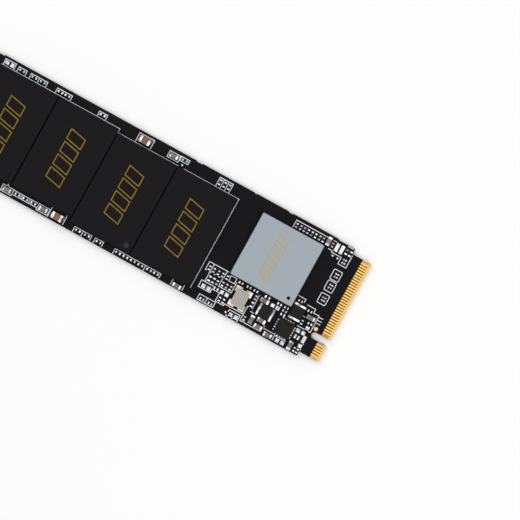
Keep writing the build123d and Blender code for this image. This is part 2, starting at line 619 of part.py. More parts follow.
power_capacitors += [at(power_x - INPUT_OFFSET, pad_row)]
power_capacitors += [at(step - STEP_MARGIN - medium_span / 2, input_y), at(corner_x, corner_y, 90)]
for name, places in (("edge_capacitor", edge_capacitors), ("power_capacitor", power_capacitors)):
    place_copies(f"{name}_bodies", (medium_body, places))
    place_copies(f"{name}_ends", (medium_ends, places))

# Two large capacitors, two indicator lamps and two inductors
large_places = [
    at(third + UPPER_LARGE_PLACE, upper_edge - BULK_MARGIN - LARGE_WIDTH / 2),
    at(second + LOWER_LARGE_PLACE, lower_edge + LOWER_EDGE_MARGIN + LARGE_WIDTH / 2),
]
lamp_places = [at(led_left_x, led_y, 90), at(led_right_x, led_y, 90)]
inductor_places = [at(inductor_x, below(inductor_depth)), at(coil_x, coil_y, 90)]
for i in range(2):
    place_copies(f"large_capacitor_body_{i + 1}", (large_body, large_places[i:i + 1]))
    place_copies(f"large_capacitor_ends_{i + 1}", (large_ends, large_places[i:i + 1]))
    place_copies(f"indicator_lamp_body_{i + 1}", (led_body, lamp_places[i:i + 1]))
    place_copies(f"indicator_lamp_ends_{i + 1}", (led_ends, lamp_places[i:i + 1]))
    place_copies(f"inductor_core_{i + 1}", (inductor_core, inductor_places[i:i + 1]))
    place_copies(f"inductor_ends_{i + 1}", (inductor_ends, inductor_places[i:i + 1]))

# Power chip: a moulded body on leads that show on all four sides
with BuildPart() as power_chip:
    with BuildSketch(Plane.XY.offset(board_top + STANDOFF)):
        with Locations((power_x, power_y)):
            Rectangle(POWER_SIDE, POWER_SIDE)
    extrude(amount=POWER_HEIGHT - STANDOFF)
save("power_chip_body", power_chip.part)

with BuildPart() as lead:
    with BuildSketch(Plane.XZ):
        with BuildLine():
            Polyline(
                (POWER_SIDE / 2 - LEAD_FOOT, board_top),
                (POWER_SIDE / 2 + LEAD_TOE, board_top),
                (POWER_SIDE / 2, board_top + LEAD_RISE),
                (POWER_SIDE / 2, board_top + STANDOFF),
                (POWER_SIDE / 2 - LEAD_FOOT, board_top + STANDOFF),
                close=True,
            )
        make_face()
    extrude(amount=LEAD_WIDTH / 2, both=True)
lead_offsets = [(i - (POWER_LEADS - 1) / 2) * LEAD_PITCH for i in range(POWER_LEADS)]
lead_places = [at(power_x, power_y, turn) * at(0, y) for turn in (0, 90, 180, 270) for y in lead_offsets]
place_copies("power_chip_leads", (lead.part, lead_places))

# Clock crystal, from its pads up to its lid
tray_base = board_top + STANDOFF
tray_top = tray_base + CRYSTAL_HEIGHT
pad_x = CRYSTAL_WIDTH / 2 + CRYSTAL_PAD_REACH - CRYSTAL_PAD_WIDTH / 2
pad_y = CRYSTAL_LENGTH / 2 + CRYSTAL_PAD_REACH - CRYSTAL_PAD_LENGTH / 2

with BuildPart() as crystal_pads:
    with BuildSketch(Plane.XY.offset(board_top)):
        with Locations((crystal_x, crystal_y)):
            with GridLocations(2 * pad_x, 2 * pad_y, 2, 2):
                Rectangle(CRYSTAL_PAD_WIDTH, CRYSTAL_PAD_LENGTH)
    extrude(amount=STANDOFF)
save("crystal_pads", crystal_pads.part)

with BuildPart() as tray:
    with BuildSketch(Plane.XY.offset(tray_base)):
        with Locations((crystal_x, crystal_y)):
            Rectangle(CRYSTAL_WIDTH, CRYSTAL_LENGTH)
            with GridLocations(CRYSTAL_WIDTH, CRYSTAL_LENGTH, 2, 2):
                Circle(CRYSTAL_NOTCH, mode=Mode.SUBTRACT)
    extrude(amount=CRYSTAL_HEIGHT)
    with BuildSketch(Plane.XY.offset(tray_top - CRYSTAL_POCKET)):
        with Locations((crystal_x, crystal_y)):
            Rectangle(CRYSTAL_WIDTH - 2 * CRYSTAL_RIM, CRYSTAL_LENGTH - 2 * CRYSTAL_RIM)
    extrude(amount=CRYSTAL_POCKET, mode=Mode.SUBTRACT)
save("crystal_tray", tray.part)

with BuildPart() as blank:
    with BuildSketch(Plane.XY.offset(tray_top - CRYSTAL_POCKET)):
        with Locations((crystal_x, crystal_y)):
            blank_margin = 2 * (CRYSTAL_RIM + BLANK_GAP)
            Rectangle(CRYSTAL_WIDTH - blank_margin, CRYSTAL_LENGTH - blank_margin)
    extrude(amount=BLANK_THICKNESS)
save("crystal_blank", blank.part)

with BuildPart() as seal:
    with BuildSketch(Plane.XY.offset(tray_top)):
        with Locations((crystal_x, crystal_y)):
            Rectangle(CRYSTAL_WIDTH - 2 * SEAL_INSET, CRYSTAL_LENGTH - 2 * SEAL_INSET)
            Rectangle(
                CRYSTAL_WIDTH - 2 * CRYSTAL_RIM, CRYSTAL_LENGTH - 2 * CRYSTAL_RIM, mode=Mode.SUBTRACT
            )
    extrude(amount=SEAL_HEIGHT)
save("crystal_seal_ring", seal.part)

with BuildPart() as crystal_lid:
    with BuildSketch(Plane.XY.offset(tray_top + SEAL_HEIGHT)):
        with Locations((crystal_x, crystal_y)):
            lid_width = CRYSTAL_WIDTH - 2 * CRYSTAL_LID_INSET
            lid_length = CRYSTAL_LENGTH - 2 * CRYSTAL_LID_INSET
            RectangleRounded(lid_width, lid_length, CRYSTAL_LID_CORNER)
    extrude(amount=CRYSTAL_LID_THICKNESS)
save("crystal_lid", crystal_lid.part)

# Tinned pads where no part is fitted
spare_x = step_x - BLOCK_GAP - UPPER_ROW_GAP
narrow_pad_y = below(third_rank_depth + small_span / 2 + PART_GAP + PAD_SIDE / 2)
pad_pairs = [
    (first + UPPER_PADS_PLACE, upper_row),
    (inner_rank_x - rank_pitch - BLOCK_GAP - PART_GAP, below(low_pad_depth)),
    (left_rank_x + PAD_PITCH, below(pad_depth)),
    (crystal_x + BLOCK_GAP, pad_row),
    (inductor_x + SPARE_OFFSET, below(filter_depth)),
    (power_x + BLOCK_GAP, pad_row),
    (spare_x, pad_pair_y),
]
narrow_pads = [
    (inner_rank_x + UPPER_ROW_GAP, narrow_pad_y),
    (spare_x - PART_GAP, pad_pair_y - PAD_SIDE - BLOCK_GAP),
]
single_pads = [
    (step_x, single_pad_y),
    (step_x + UPPER_ROW_GAP, pad_pair_y - 2 * PAD_SIDE - 2 * BLOCK_GAP),
]
with BuildPart() as bare_pads:
    with BuildSketch(Plane.XY.offset(board_top)):
        with Locations(*pad_pairs):
            with GridLocations(PAD_PITCH, PAD_PITCH, 2, 1):
                Rectangle(PAD_SIDE, PAD_SIDE)
        with Locations(*narrow_pads):
            with GridLocations(NARROW_PAD_PITCH, NARROW_PAD_PITCH, 2, 1):
                Rectangle(NARROW_PAD_WIDTH, PAD_SIDE)
        with Locations(*single_pads):
            Rectangle(PAD_SIDE, PAD_SIDE)
    extrude(amount=STANDOFF)
save("bare_pads", bare_pads.part)
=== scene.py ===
"""Looks of a solid-state drive card: white print, solder, surface finishes and a studio stage."""
import json
import math
from contextlib import contextmanager
from functools import partial

import bmesh
import bpy
from bpy.props import FloatProperty, FloatVectorProperty, IntProperty, PointerProperty
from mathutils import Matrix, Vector

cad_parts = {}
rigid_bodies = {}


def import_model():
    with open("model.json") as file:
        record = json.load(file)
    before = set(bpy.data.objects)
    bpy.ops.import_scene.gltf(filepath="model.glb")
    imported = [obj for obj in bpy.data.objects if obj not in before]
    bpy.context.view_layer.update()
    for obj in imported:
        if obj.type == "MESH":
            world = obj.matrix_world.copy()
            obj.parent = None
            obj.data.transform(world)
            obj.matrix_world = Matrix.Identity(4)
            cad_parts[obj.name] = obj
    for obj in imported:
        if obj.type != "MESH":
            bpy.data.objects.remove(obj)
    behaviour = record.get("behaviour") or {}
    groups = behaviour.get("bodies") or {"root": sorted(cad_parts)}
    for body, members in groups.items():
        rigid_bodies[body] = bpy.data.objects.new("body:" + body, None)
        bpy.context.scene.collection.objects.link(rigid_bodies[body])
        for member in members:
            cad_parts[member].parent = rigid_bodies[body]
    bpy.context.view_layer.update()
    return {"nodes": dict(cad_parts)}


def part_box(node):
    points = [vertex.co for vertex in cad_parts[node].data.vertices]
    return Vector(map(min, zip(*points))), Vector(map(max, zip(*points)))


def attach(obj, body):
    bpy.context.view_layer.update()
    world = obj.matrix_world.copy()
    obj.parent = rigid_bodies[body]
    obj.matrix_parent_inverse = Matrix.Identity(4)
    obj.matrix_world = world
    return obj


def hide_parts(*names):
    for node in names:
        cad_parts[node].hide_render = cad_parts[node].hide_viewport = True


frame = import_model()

bl_info = {
    "name": "Drive Card Looks",
    "version": (1, 0, 0),
    "blender": (4, 5, 0),
    "location": "View3D > Sidebar > Drive Card",
    "description": "Print, solder and surface finishes of a drive card, with a stage to show it on",
    "category": "Object",
}

MM = 0.001
BODY = "root"
MERGE_DISTANCE = 0.0005 * MM
TOUCHING = 10 * MERGE_DISTANCE
PLATING_DEPTH = 0.05 * MM
PACKAGE_LAMINATE = 0.2 * MM
# Edges sharper than this are rounded, and a ball's faces meet smoothly below its own angle.
SHARP_EDGE = math.radians(40)
BALL_CREASE = math.radians(50)
# A face counts as level where its normal's Z is more than this.
LEVEL_NORMAL = 0.5

# Places read from the frame
BOARD_LOW, BOARD_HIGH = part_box("circuit_board")
CONTACT_LOW, CONTACT_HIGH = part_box("edge_contacts_top")
MEMORY_BOXES = [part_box(f"memory_package_{i}") for i in range(1, 5)]
MARKED_PACKAGE = 2
LID_LOW, LID_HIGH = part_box("controller_lid")
LAMP_LOW, LAMP_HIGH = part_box("indicator_lamp_body_1")


def linear(hex_colour):
    """A linear colour from an sRGB hex value."""
    parts = [int(hex_colour[i:i + 2], 16) / 255 for i in (0, 2, 4)]
    return (*(c / 12.92 if c <= 0.04045 else ((c + 0.055) / 1.055) ** 2.4 for c in parts), 1.0)


def length(title, words, millimetres):
    return FloatProperty(
        name=title, description=words, default=millimetres * MM, unit="LENGTH", precision=6
    )


def amount(title, words, default, least=0):
    return FloatProperty(name=title, description=words, default=default, min=least)


def count(title, words, default, least=2):
    return IntProperty(name=title, description=words, default=default, min=least)


def colour(title, words, hex_colour):
    return FloatVectorProperty(
        name=title, description=words, default=linear(hex_colour),
        size=4, min=0, max=1, subtype="COLOR",
    )


class PrintSettings(bpy.types.PropertyGroup):
    """Sizes of the white print and the package marks"""

    line: length("Line", "Width of a printed line", 0.145)
    memory_line: length("Memory line", "Width of the line round the memory", 0.115)
    thickness: length("Thickness", "How far the ink stands off the mask", 0.015)
    corner: length("Corner", "Rounding of an outline's corners", 0.25)
    margin: length("Margin", "From a chip part to its outline", 0.2)
    clear: length("Clearance", "From a pad to the ink beside it", 0.06)
    share_gap: length("Shared gap", "Parts nearer than this share one outline", 0.65)
    divider_gap: length("Divider gap", "Parts farther apart get a line between them", 0.34)
    mark_line: length("Mark line", "Width of the lines in a package mark", 0.2)
    mark_width: length("Mark width", "Package mark across the package", 3.3)
    mark_length: length("Mark length", "Package mark along the package", 9.8)
    mark_gap: length("Mark gap", "Between two blocks of a mark", 0.45)
    mark_slant: length("Mark slant", "How far a block leans", 0.7)
    mark_offset: length("Mark offset", "Mark from the middle of its package", 0.15)
    lid_mark_line: length("Lid mark line", "Width of the lines in the lid mark", 0.3)
    lid_mark_width: length("Lid mark width", "Lid mark across the card", 2.3)
    lid_mark_length: length("Lid mark length", "Lid mark along its row", 8.6)
    lid_mark_offset: length("Lid mark offset", "Lid mark from the middle of the lid", 0.7)
    dot_inset: length("Dot inset", "Pin-one dot from two sides of the lid", 1.18)
    dot_radius: length("Dot radius", "Paint in the lid's pin-one dimple", 0.32)
    dot_depth: length("Dot depth", "Floor of the dimple below the lid", 0.05)
    mark_blocks: count("Mark blocks", "Blocks in a mark", 4, least=1)


class SolderSettings(bpy.types.PropertyGroup):
    """Sizes of the solder, the contacts' finish, the rounded edges and the mould mark"""

    ball_radius: length("Ball radius", "Widest radius of a solder ball", 0.23)
    memory_pitch: length("Memory pitch", "Spacing of the balls under a memory package", 1.0)
    memory_columns: count("Memory columns", "Balls across a package", 9)
    memory_rows: count("Memory rows", "Balls along a package", 15)
    controller_pitch: length("Controller pitch", "Spacing of the controller's balls", 0.8)
    controller_balls: count("Controller balls", "Balls on each side", 14)
    chip_leads: count("Chip leads", "Leads on a side of the power chip", 5, least=1)
    lead_pitch: length("Lead pitch", "Spacing of the power chip's leads", 0.5)
    land_width: length("Land width", "Width of a solder land under a lead", 0.29)
    land_reach: length("Land reach", "Land showing past its lead", 0.11)
    land_height: length("Land height", "Solder standing on a land", 0.03)
    land_corner: length("Land corner", "Rounding of a land's corners", 0.05)
    mask_lap: length("Mask lap", "How far the mask laps over the contacts' inner ends", 0.14)
    contact_side: length("Contact side", "Rolled side of a contact", 0.07)
    end_round: length("End rounding", "Rounding of the plated ends", 0.03)
    body_round: length("Body rounding", "Rounding of the chip bodies", 0.025)
    core_round: length("Core rounding", "Rounding of the pressed inductor cores", 0.12)
    package_round: length("Package rounding", "Rounding of the moulded packages", 0.05)
    pin_mark_sheen: length("Mould mark", "Radius of the pin mark on a memory package", 0.47)
    mould_mark_inset: length("Mould mark inset", "Pin mark from the sides of its package", 1.15)


class ColourSettings(bpy.types.PropertyGroup):
    """Colours of the finishes"""

    mask: colour("Solder mask", "Black solder mask", "08070a")
    mask_trace: colour("Mask over copper", "Mask where copper lies under it", "0e0d11")
    # Laminate between the contacts: its own brown, darkened by painted shade between the contacts.
    laminate: colour("Laminate", "Bare glass-epoxy between the contacts", "481a00")
    laminate_deep: colour("Deep laminate", "Laminate between the yarns", "3e1600")
    tongue: colour("Tongue side", "Pale laminate outside the last contacts", "d0a870")
    bevel: colour("Bevel", "Raw glass on the bevelled edge", "f0d292")
    bevel_deep: colour("Deep bevel", "Raw glass between the yarns", "e6c17c")
    laminate_edge: colour("Laminate edge", "Routed edge of the board", "2a2119")
    gold: colour("Gold", "Hard gold plating", "f5c97a")
    gold_deep: colour("Worn gold", "Gold where it is rubbed", "e2a856")
    # Painted shade: the darker gold painted along a contact's sides, for the light they reflect
    # less.
    gold_side_shade: colour("Gold side", "Gold on a contact's rolled sides", "7e4804")
    # Painted highlight: the pale gold in the middle of a test pad.
    pad_gold_highlight: colour("Test pad", "Thin gold in the middle of a test pad", "d8c498")
    pad_gold_rim: colour("Test pad rim", "Gold at the rim of a test pad", "996d36")
    tin: colour("Tin", "Reflowed tin", "f8f9fa")
    tin_grey: colour("Grey tin", "A joint that froze grey", "b6babe")
    tin_old: colour("Old tin", "Plated tin that has dulled", "f6f7f8")
    tin_dark: colour("Dark tin", "The dullest of the plated ends", "7e8288")
    flux: colour("Flux", "Solder under a film of flux", "ece7da")
    flux_dark: colour("Dark flux", "Where the flux lies thicker", "a89f88")
    pad: colour("Bare pad", "Solder levelled on a bare pad", "fafbfc")
    pad_dull: colour("Dull pad", "Thin solder on a bare pad", "70767c")
    mould: colour("Mould", "Black moulding compound", "131113")
    mould_pale: colour("Mould filler", "Filler that shows in the compound", "1a181b")
    # Painted sheen: the paler colour of a moulding pin's smooth mark.
    pin_mark_sheen: colour("Mould mark", "Smooth mark of a moulding pin", "353436")
    chip_mould: colour("Chip mould", "Compound of the power chip", "1d1b1a")
    chip_mould_pale: colour("Chip filler", "Filler that shows in the power chip", "282624")
    package_base: colour("Package base", "Laminate under a moulded package", "1c2a20")
    lid: colour("Lid", "Matte nickel", "a0a8af")
    lid_grain: colour("Lid grain", "Nickel between the grains", "969ea5")
    lid_mark: colour("Lid mark", "Faded marking on the lid", "a89c78")
    coat: colour("Resistor coat", "Black glass coat", "0f0e10")
    alumina: colour("Alumina", "Body of a chip resistor", "d6d2c8")
    ceramic: colour("Capacitor", "Fired brown ceramic", "8c5e46")
    ceramic_pale: colour("Pale capacitor", "Ceramic of a paler batch", "7d593f")
    ceramic_grey: colour("Grey capacitor", "Pinkish grey ceramic", "857a70")
    ceramic_worn: colour("Dull capacitor", "Ceramic of a greyer batch", "76675b")
    ceramic_red: colour("Small capacitor", "Dark red-brown ceramic", "2a1512")
    ceramic_black: colour("Lane capacitor", "Nearly black ceramic", "0c0a0a")
    ceramic_dusk: colour("Brown-black ceramic", "Lane ceramic of a browner batch", "1a1211")
    ceramic_olive: colour("Olive capacitor", "Grey-olive ceramic", "2c2b26")
    ferrite: colour("Ferrite", "Pressed dark ferrite", "151516")
    ferrite_pale: colour("Ferrite grain", "Paler grains in the ferrite", "202022")
    lamp: colour("Lamp", "White lamp moulding", "f4f4ee")
    lamp_phosphor: colour("Lamp window", "Cream phosphor in the lamp", "eef0da")
    crystal_ceramic: colour("Crystal tray", "Cream ceramic", "d9d0bd")
    crystal_lid: colour("Crystal lid", "Welded nickel-iron lid", "9d978c")
    seal_ring: colour("Seal ring", "Brazed ring of the crystal", "a08e76")
    silicon: colour("Silicon", "Ground silicon", "50545e")
    quartz: colour("Quartz", "Quartz blank", "dfe7ea")
    paint: colour("Dot paint", "Black paint in the pin-one dimple", "050506")
    ink: colour("White print", "Epoxy ink", "e6eaee")
    ink_worn: colour("Thin print", "Ink where it is thin", "ccd1d6")
    mark: colour("Package mark", "Gold-coloured marking", "94771d")
    mark_worn: colour("Worn mark", "Marking where it is thin", "776018")


class StageSettings(bpy.types.PropertyGroup):
    """The floor, the lamps and the camera"""

    floor_size: length("Floor", "Side of the floor", 6000)
    floor_drop: length("Floor drop", "Gap under the card, so that no two faces share a plane", 0.01)
    floor_colour: colour("Floor", "Pale floor", "fefefe")
    view_x: length("View X", "Point under the middle of the picture, along the card", 22.03)
    view_y: length("View Y", "Point under the middle of the picture, across the card", 1.02)
    view_width: length("View width", "Width of the picture on the card", 92.86)
    view_turn: FloatProperty(
        name="View turn", description="Turn of the camera",
        default=math.radians(28.87), subtype="ANGLE",
    )
    lens: amount("Lens", "Focal length in millimetres", 200, least=20)
    sensor: amount("Sensor", "Sensor width in millimetres", 36, least=1)
    room_light: amount("Room light", "Radiance of the room", 0.42)
    over_light: amount("Overhead", "Radiance of the overhead panel", 1.0)
    side_light: amount("Sides", "Radiance of the side panels", 2.1)


# Modelling helpers


def deselect_all():
    bpy.ops.object.select_all(action="DESELECT")


def pick(*pieces):
    """Selects these pieces alone, the first of them active."""
    deselect_all()
    for piece in pieces:
        piece.select_set(True)
    bpy.context.view_layer.objects.active = pieces[0]


@contextmanager
def edit_mode():
    """Edit mode on the active piece."""
    bpy.ops.object.mode_set(mode="EDIT")
    yield
    bpy.ops.object.mode_set(mode="OBJECT")


def add_tile(x0, x1, y0, y1, z):
    """A flat rectangle with its place in its mesh, selected and active."""
    deselect_all()
    bpy.ops.mesh.primitive_plane_add(size=1, location=((x0 + x1) / 2, (y0 + y1) / 2, z))
    tile = bpy.context.object
    tile.scale = (x1 - x0, y1 - y0, 1)
    bpy.ops.object.transform_apply(location=True, rotation=True, scale=True)
    return tile


def raise_tile(height):
    """Extrudes the active flat piece into a closed layer."""
    with edit_mode():
        bpy.ops.mesh.select_all(action="SELECT")
        bpy.ops.mesh.extrude_region_move(TRANSFORM_OT_translate={"value": (0, 0, height)})
        bpy.ops.mesh.select_all(action="SELECT")
        bpy.ops.mesh.normals_make_consistent(inside=False)


def hollow_tile(line, corner):
    """Rounds the active tile's corners and leaves only its border."""
    with edit_mode():
        bpy.ops.mesh.select_all(action="SELECT")
        if corner:
            bpy.ops.mesh.bevel(affect="VERTICES", offset=corner, segments=3)
        bpy.ops.mesh.select_all(action="SELECT")
        bpy.ops.mesh.inset(thickness=line)
        bpy.ops.mesh.delete(type="ONLY_FACE")


def repeat(piece, copies, step):
    """Copies the piece in a straight row, as part of its own mesh."""
    array = piece.modifiers.new("Row", "ARRAY")
    array.count = copies
    array.use_relative_offset = False
    array.use_constant_offset = True
    array.constant_offset_displace = step
    pick(piece)
    bpy.ops.object.modifier_apply(modifier=array.name)


def join_pieces(pieces, name):
    pick(*pieces)
    if len(pieces) > 1:
        bpy.ops.object.join()
    joined = bpy.context.object
    joined.name = name
    joined.data.name = name
    return joined


def dress(piece, finish):
    piece.data.materials.clear()
    piece.data.materials.append(finish)


def dress_nodes(names, finish):
    """Gives CAD nodes a finish through their own material slots."""
    for name in names:
        for slot in frame["nodes"][name].material_slots:
            slot.material = finish


def round_nodes(names, width, segments=2):
    """Rounds the edges of CAD nodes with modifiers."""
    for name in names:
        modifiers = frame["nodes"][name].modifiers
        modifiers.new("Merge", "WELD").merge_threshold = MERGE_DISTANCE
        bevel = modifiers.new("Round", "BEVEL")
        bevel.width = width
        bevel.segments = segments
        bevel.limit_method = "ANGLE"
        bevel.angle_limit = SHARP_EDGE


# Boxes on the card, as (x0, x1, y0, y1)


def extent(points):
    """Box round some points."""
    xs, ys = [p.x for p in points], [p.y for p in points]
    return min(xs), max(xs), min(ys), max(ys)


def grow(box, margin):
    x0, x1, y0, y1 = box
    return x0 - margin, x1 + margin, y0 - margin, y1 + margin


def union(boxes):
    x0, x1, y0, y1 = zip(*boxes)
    return min(x0), max(x1), min(y0), max(y1)


def gap_between(a, b):
    return max(a[0] - b[1], b[0] - a[1], a[2] - b[3], b[2] - a[3])


def cluster(boxes, reach):
    """Lists of boxes that lie within reach of each other."""
    groups = []
    for box in boxes:
        near = [g for g in groups if any(gap_between(box, other) < reach for other in g)]
        groups = [g for g in groups if g not in near] + [sum(near, [box])]
    return groups


def island_boxes(pieces):
    """Boxes of the separate solids in pieces, in a fixed order."""
    found = []
    for piece in pieces:
        mesh = bmesh.new()
        mesh.from_mesh(piece.data)
        bmesh.ops.remove_doubles(mesh, verts=mesh.verts, dist=MERGE_DISTANCE)
        waiting = set(mesh.verts)
        for start in mesh.verts:
            if start not in waiting:
                continue
            waiting.remove(start)
            island = [start]
            for vertex in island:
                linked = {edge.other_vert(vertex) for edge in vertex.link_edges} & waiting
                waiting -= linked
                island.extend(linked)
            found.append(extent([vertex.co for vertex in island]))
        mesh.free()
    return found


def node_boxes(name):
    """Boxes of the separate solids in a CAD node."""
    return island_boxes([frame["nodes"][name]])


def chip_boxes(*stems):
    """One box for each whole chip part: its body with both plated ends."""
    pieces = [piece for name, piece in frame["nodes"].items() if name.startswith(stems)]
    return [union(group) for group in cluster(island_boxes(pieces), TOUCHING)]


def taken_boxes():
    """Where no ink goes: tinned pads and lands, chip parts and print that is there already."""
    low, high = BOARD_HIGH.z - PLATING_DEPTH, BOARD_HIGH.z + PLATING_DEPTH
    fitted = [p for name, p in frame["nodes"].items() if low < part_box(name)[0].z < high]
    clear = bpy.context.scene.card_print.clear
    printed = [p.data for p in bpy.data.objects if p.name.endswith(("_print", "_lands"))]
    strokes = [
        extent([mesh.vertices[v].co for v in face.vertices])
        for mesh in printed for face in mesh.polygons if face.normal.z > LEVEL_NORMAL
    ]
    return [grow(box, clear) for box in island_boxes(fitted)] + strokes


# Print helpers


def print_outline(x0, x1, y0, y1):
    """A rounded outline, given by the middle of its lines."""
    ink = bpy.context.scene.card_print
    tile = add_tile(*grow((x0, x1, y0, y1), ink.line / 2), BOARD_HIGH.z)
    hollow_tile(ink.line, ink.corner)
    raise_tile(ink.thickness)
    return tile


def print_block(x0, x1, y0, y1):
    """A solid rectangle of ink."""
    tile = add_tile(x0, x1, y0, y1, BOARD_HIGH.z)
    raise_tile(bpy.context.scene.card_print.thickness)
    return tile


def free_spans(start, stop, blocks):
    """What is left of a span once the blocks are cut out of it."""
    spans = [(start, stop)]
    for low, high in sorted(blocks):
        first, last = spans.pop()
        spans += [(first, min(low, last)), (max(high, first), last)]
    shortest = bpy.context.scene.card_print.line / 2
    return [span for span in spans if span[1] - span[0] > shortest]


def print_stroke(a, b, taken, line):
    """A straight line along X or Y, trimmed by what already lies there. It starts half a line
    before a and ends half a line before b, so that the strokes of a path meet without overlap."""
    half = line / 2
    axis = 0 if abs(b[0] - a[0]) > abs(b[1] - a[1]) else 1
    back = -half if b[axis] > a[axis] else half
    start, stop = sorted((a[axis] + back, b[axis] + back))
    low, high = a[1 - axis] - half, a[1 - axis] + half
    across = slice(2, 4) if axis == 0 else slice(0, 2)
    along = slice(0, 2) if axis == 0 else slice(2, 4)
    blocks = [box[along] for box in taken if box[across][0] < high and box[across][1] > low]
    pieces = []
    for span in free_spans(start, stop, blocks):
        box = (*span, low, high) if axis == 0 else (low, high, *span)
        pieces.append(print_block(*box))
        taken.append(box)
    return pieces


def print_path(points, taken, line):
    """Strokes through a list of points."""
    return [
        piece for a, b in zip(points, points[1:]) for piece in print_stroke(a, b, taken, line)
    ]


def print_paths(paths, taken, line):
    """Strokes along paths given in millimetres."""
    scaled = [[(x * MM, y * MM) for x, y in path] for path in paths]
    return [piece for path in scaled for piece in print_path(path, taken, line)]


def print_patch(x, y, radius, corners, z, turn=0):
    """A solid dot, or a triangle with three corners whose tip points along turn."""
    deselect_all()
    bpy.ops.mesh.primitive_circle_add(
        vertices=corners, radius=radius, fill_type="NGON", location=(x, y, z),
        rotation=(0, 0, turn - math.pi / 2),
    )
    patch = bpy.context.object
    bpy.ops.object.transform_apply(location=True, rotation=True, scale=True)
    raise_tile(bpy.context.scene.card_print.thickness)
    return patch


def outline_runs(boxes, base, taken):
    """Outlines round runs of chip parts, open towards the line at base, with a stroke between
    parts that leave room for one. With no base they are closed."""
    ink = bpy.context.scene.card_print
    pieces = []
    for run in cluster(boxes, ink.share_gap):
        run.sort()
        x0, x1, y0, y1 = grow(union(run), ink.margin)
        if base is None:
            path = [(x0, y0), (x0, y1), (x1, y1), (x1, y0), (x0, y0)]
        else:
            far = y1 if base < (y0 + y1) / 2 else y0
            path = [(x0, base), (x0, far), (x1, far), (x1, base)]
            y0, y1 = sorted((base, far))
        pieces += print_path(path, taken, ink.line)
        for left, right in zip(run, run[1:]):
            if right[0] - left[1] > ink.divider_gap:
                middle = (left[1] + right[0]) / 2
                pieces += print_stroke((middle, y0), (middle, y1), taken, ink.line)
    return pieces


def finish_print(pieces, name, finish):
    """Joins printed pieces into one that rides on the card."""
    piece = join_pieces(pieces, name)
    dress(piece, finish)
    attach(piece, BODY)


# Material helpers

METAL = {"Metallic": 1.0}
MATTE_BLACK = {"Specular IOR Level": 0.09}


def feed(made, inputs):
    """Links or sets a node's inputs. A node that is given lends its first output in use."""
    for name, value in inputs.items():
        if isinstance(value, bpy.types.Node):
            value = next(socket for socket in value.outputs if socket.enabled)
        if isinstance(value, bpy.types.NodeSocket):
            made.id_data.links.new(value, made.inputs[name])
        else:
            made.inputs[name].default_value = value


def node(tree, kind, inputs, **settings):
    """Adds a node with its settings and links."""
    made = tree.nodes.new("ShaderNode" + kind)
    for name, value in settings.items():
        setattr(made, name, value)
    feed(made, inputs)
    return made


def per(millimetres):
    """Pattern scale for a feature of that size."""
    return 1 / (millimetres * MM)


def tones(names):
    """Colours from the settings, by their names."""
    return [getattr(bpy.context.scene.card_colours, name) for name in names]


def start_finish(name, constants):
    """A material, the call that adds a node to it, its shader and Object coordinates."""
    material = bpy.data.materials.new(name)
    material.use_nodes = True
    material.node_tree.nodes.clear()
    add = partial(node, material.node_tree)
    shader = add("BsdfPrincipled", constants)
    add("OutputMaterial", {"Surface": shader})
    return material, add, shader, add("TexCoord", {}).outputs["Object"]


def surface(add, shader, base, pattern, rough, relief):
    """Links the colour, and a roughness and relief that follow the pattern."""
    gloss = add("MapRange", {"Value": pattern, "To Min": rough[0], "To Max": rough[1]})
    bump = add("Bump", {"Height": pattern, "Strength": 0.5, "Distance": relief * MM})
    feed(shader, {"Base Color": base, "Roughness": gloss, "Normal": bump})


def varied_finish(name, pair, constants, grain, rough, relief, batch=None):
    """A finish in two tones, whose gloss and relief follow a fine noise. The tone follows it too,
    or differs from part to part where a batch size is given."""
    first, second = tones(pair)
    material, add, shader, place = start_finish(name, constants)
    noise = add("TexNoise", {"Vector": place, "Scale": per(grain), "Detail": 4.0})
    if batch:
        broad = add("TexNoise", {"Vector": place, "Scale": per(batch), "Detail": 0.0})
        share = add("MapRange", {"Value": broad, "From Min": 0.35, "From Max": 0.65})
    else:
        share = add("MapRange", {"Value": noise, "From Min": 0.3, "From Max": 0.7})
    base = add("Mix", {0: share, 6: first, 7: second}, data_type="RGBA")
    surface(add, shader, base, noise, rough, relief)
    return material


def drawn_colour(add, place, pair, grain, stretch):
    """A metal's colour in fine lines, drawn out where stretch is small, and the lines."""
    first, second = tones(pair)
    drawn = add("Mapping", {"Vector": place, "Scale": stretch})
    lines = add("TexNoise", {"Vector": drawn, "Scale": per(grain), "Detail": 3.0})
    worn = add("MapRange", {"Value": lines, "From Min": 0.4, "From Max": 0.75})
    return add("Mix", {0: worn, 6: first, 7: second}, data_type="RGBA"), lines


def drawn_finish(name, pair, grain, stretch, rough, relief):
    """A metal whose colour and gloss run in fine lines."""
    material, add, shader, place = start_finish(name, METAL)
    base, lines = drawn_colour(add, place, pair, grain, stretch)
    surface(add, shader, base, lines, rough, relief)
    return material


# Finishes, with sizes in millimetres

# Electroplated hard gold over nickel. Sliding in a socket leaves fine streaks along the card, so
# the noise is drawn out along X.
GOLD_LINES = dict(pair=("gold", "gold_deep"), grain=0.09, stretch=(0.08, 1, 1))
GOLD_SURFACE = dict(rough=(0.24, 0.42), relief=0.004)
# How far the laminate beside the key goes towards the tongue's pale colour
KEY_PALING = 0.75
# Where a lamp's phosphor window fades out, in shares of half the lamp
LAMP_WINDOW = (0.6, 0.8)

# Fired capacitor ceramic: batches differ in tone, and a fine noise gives the fired grain.
CERAMIC = dict(constants={"Specular IOR Level": 0.3}, grain=0.09, rough=(0.35, 0.6), relief=0.008)

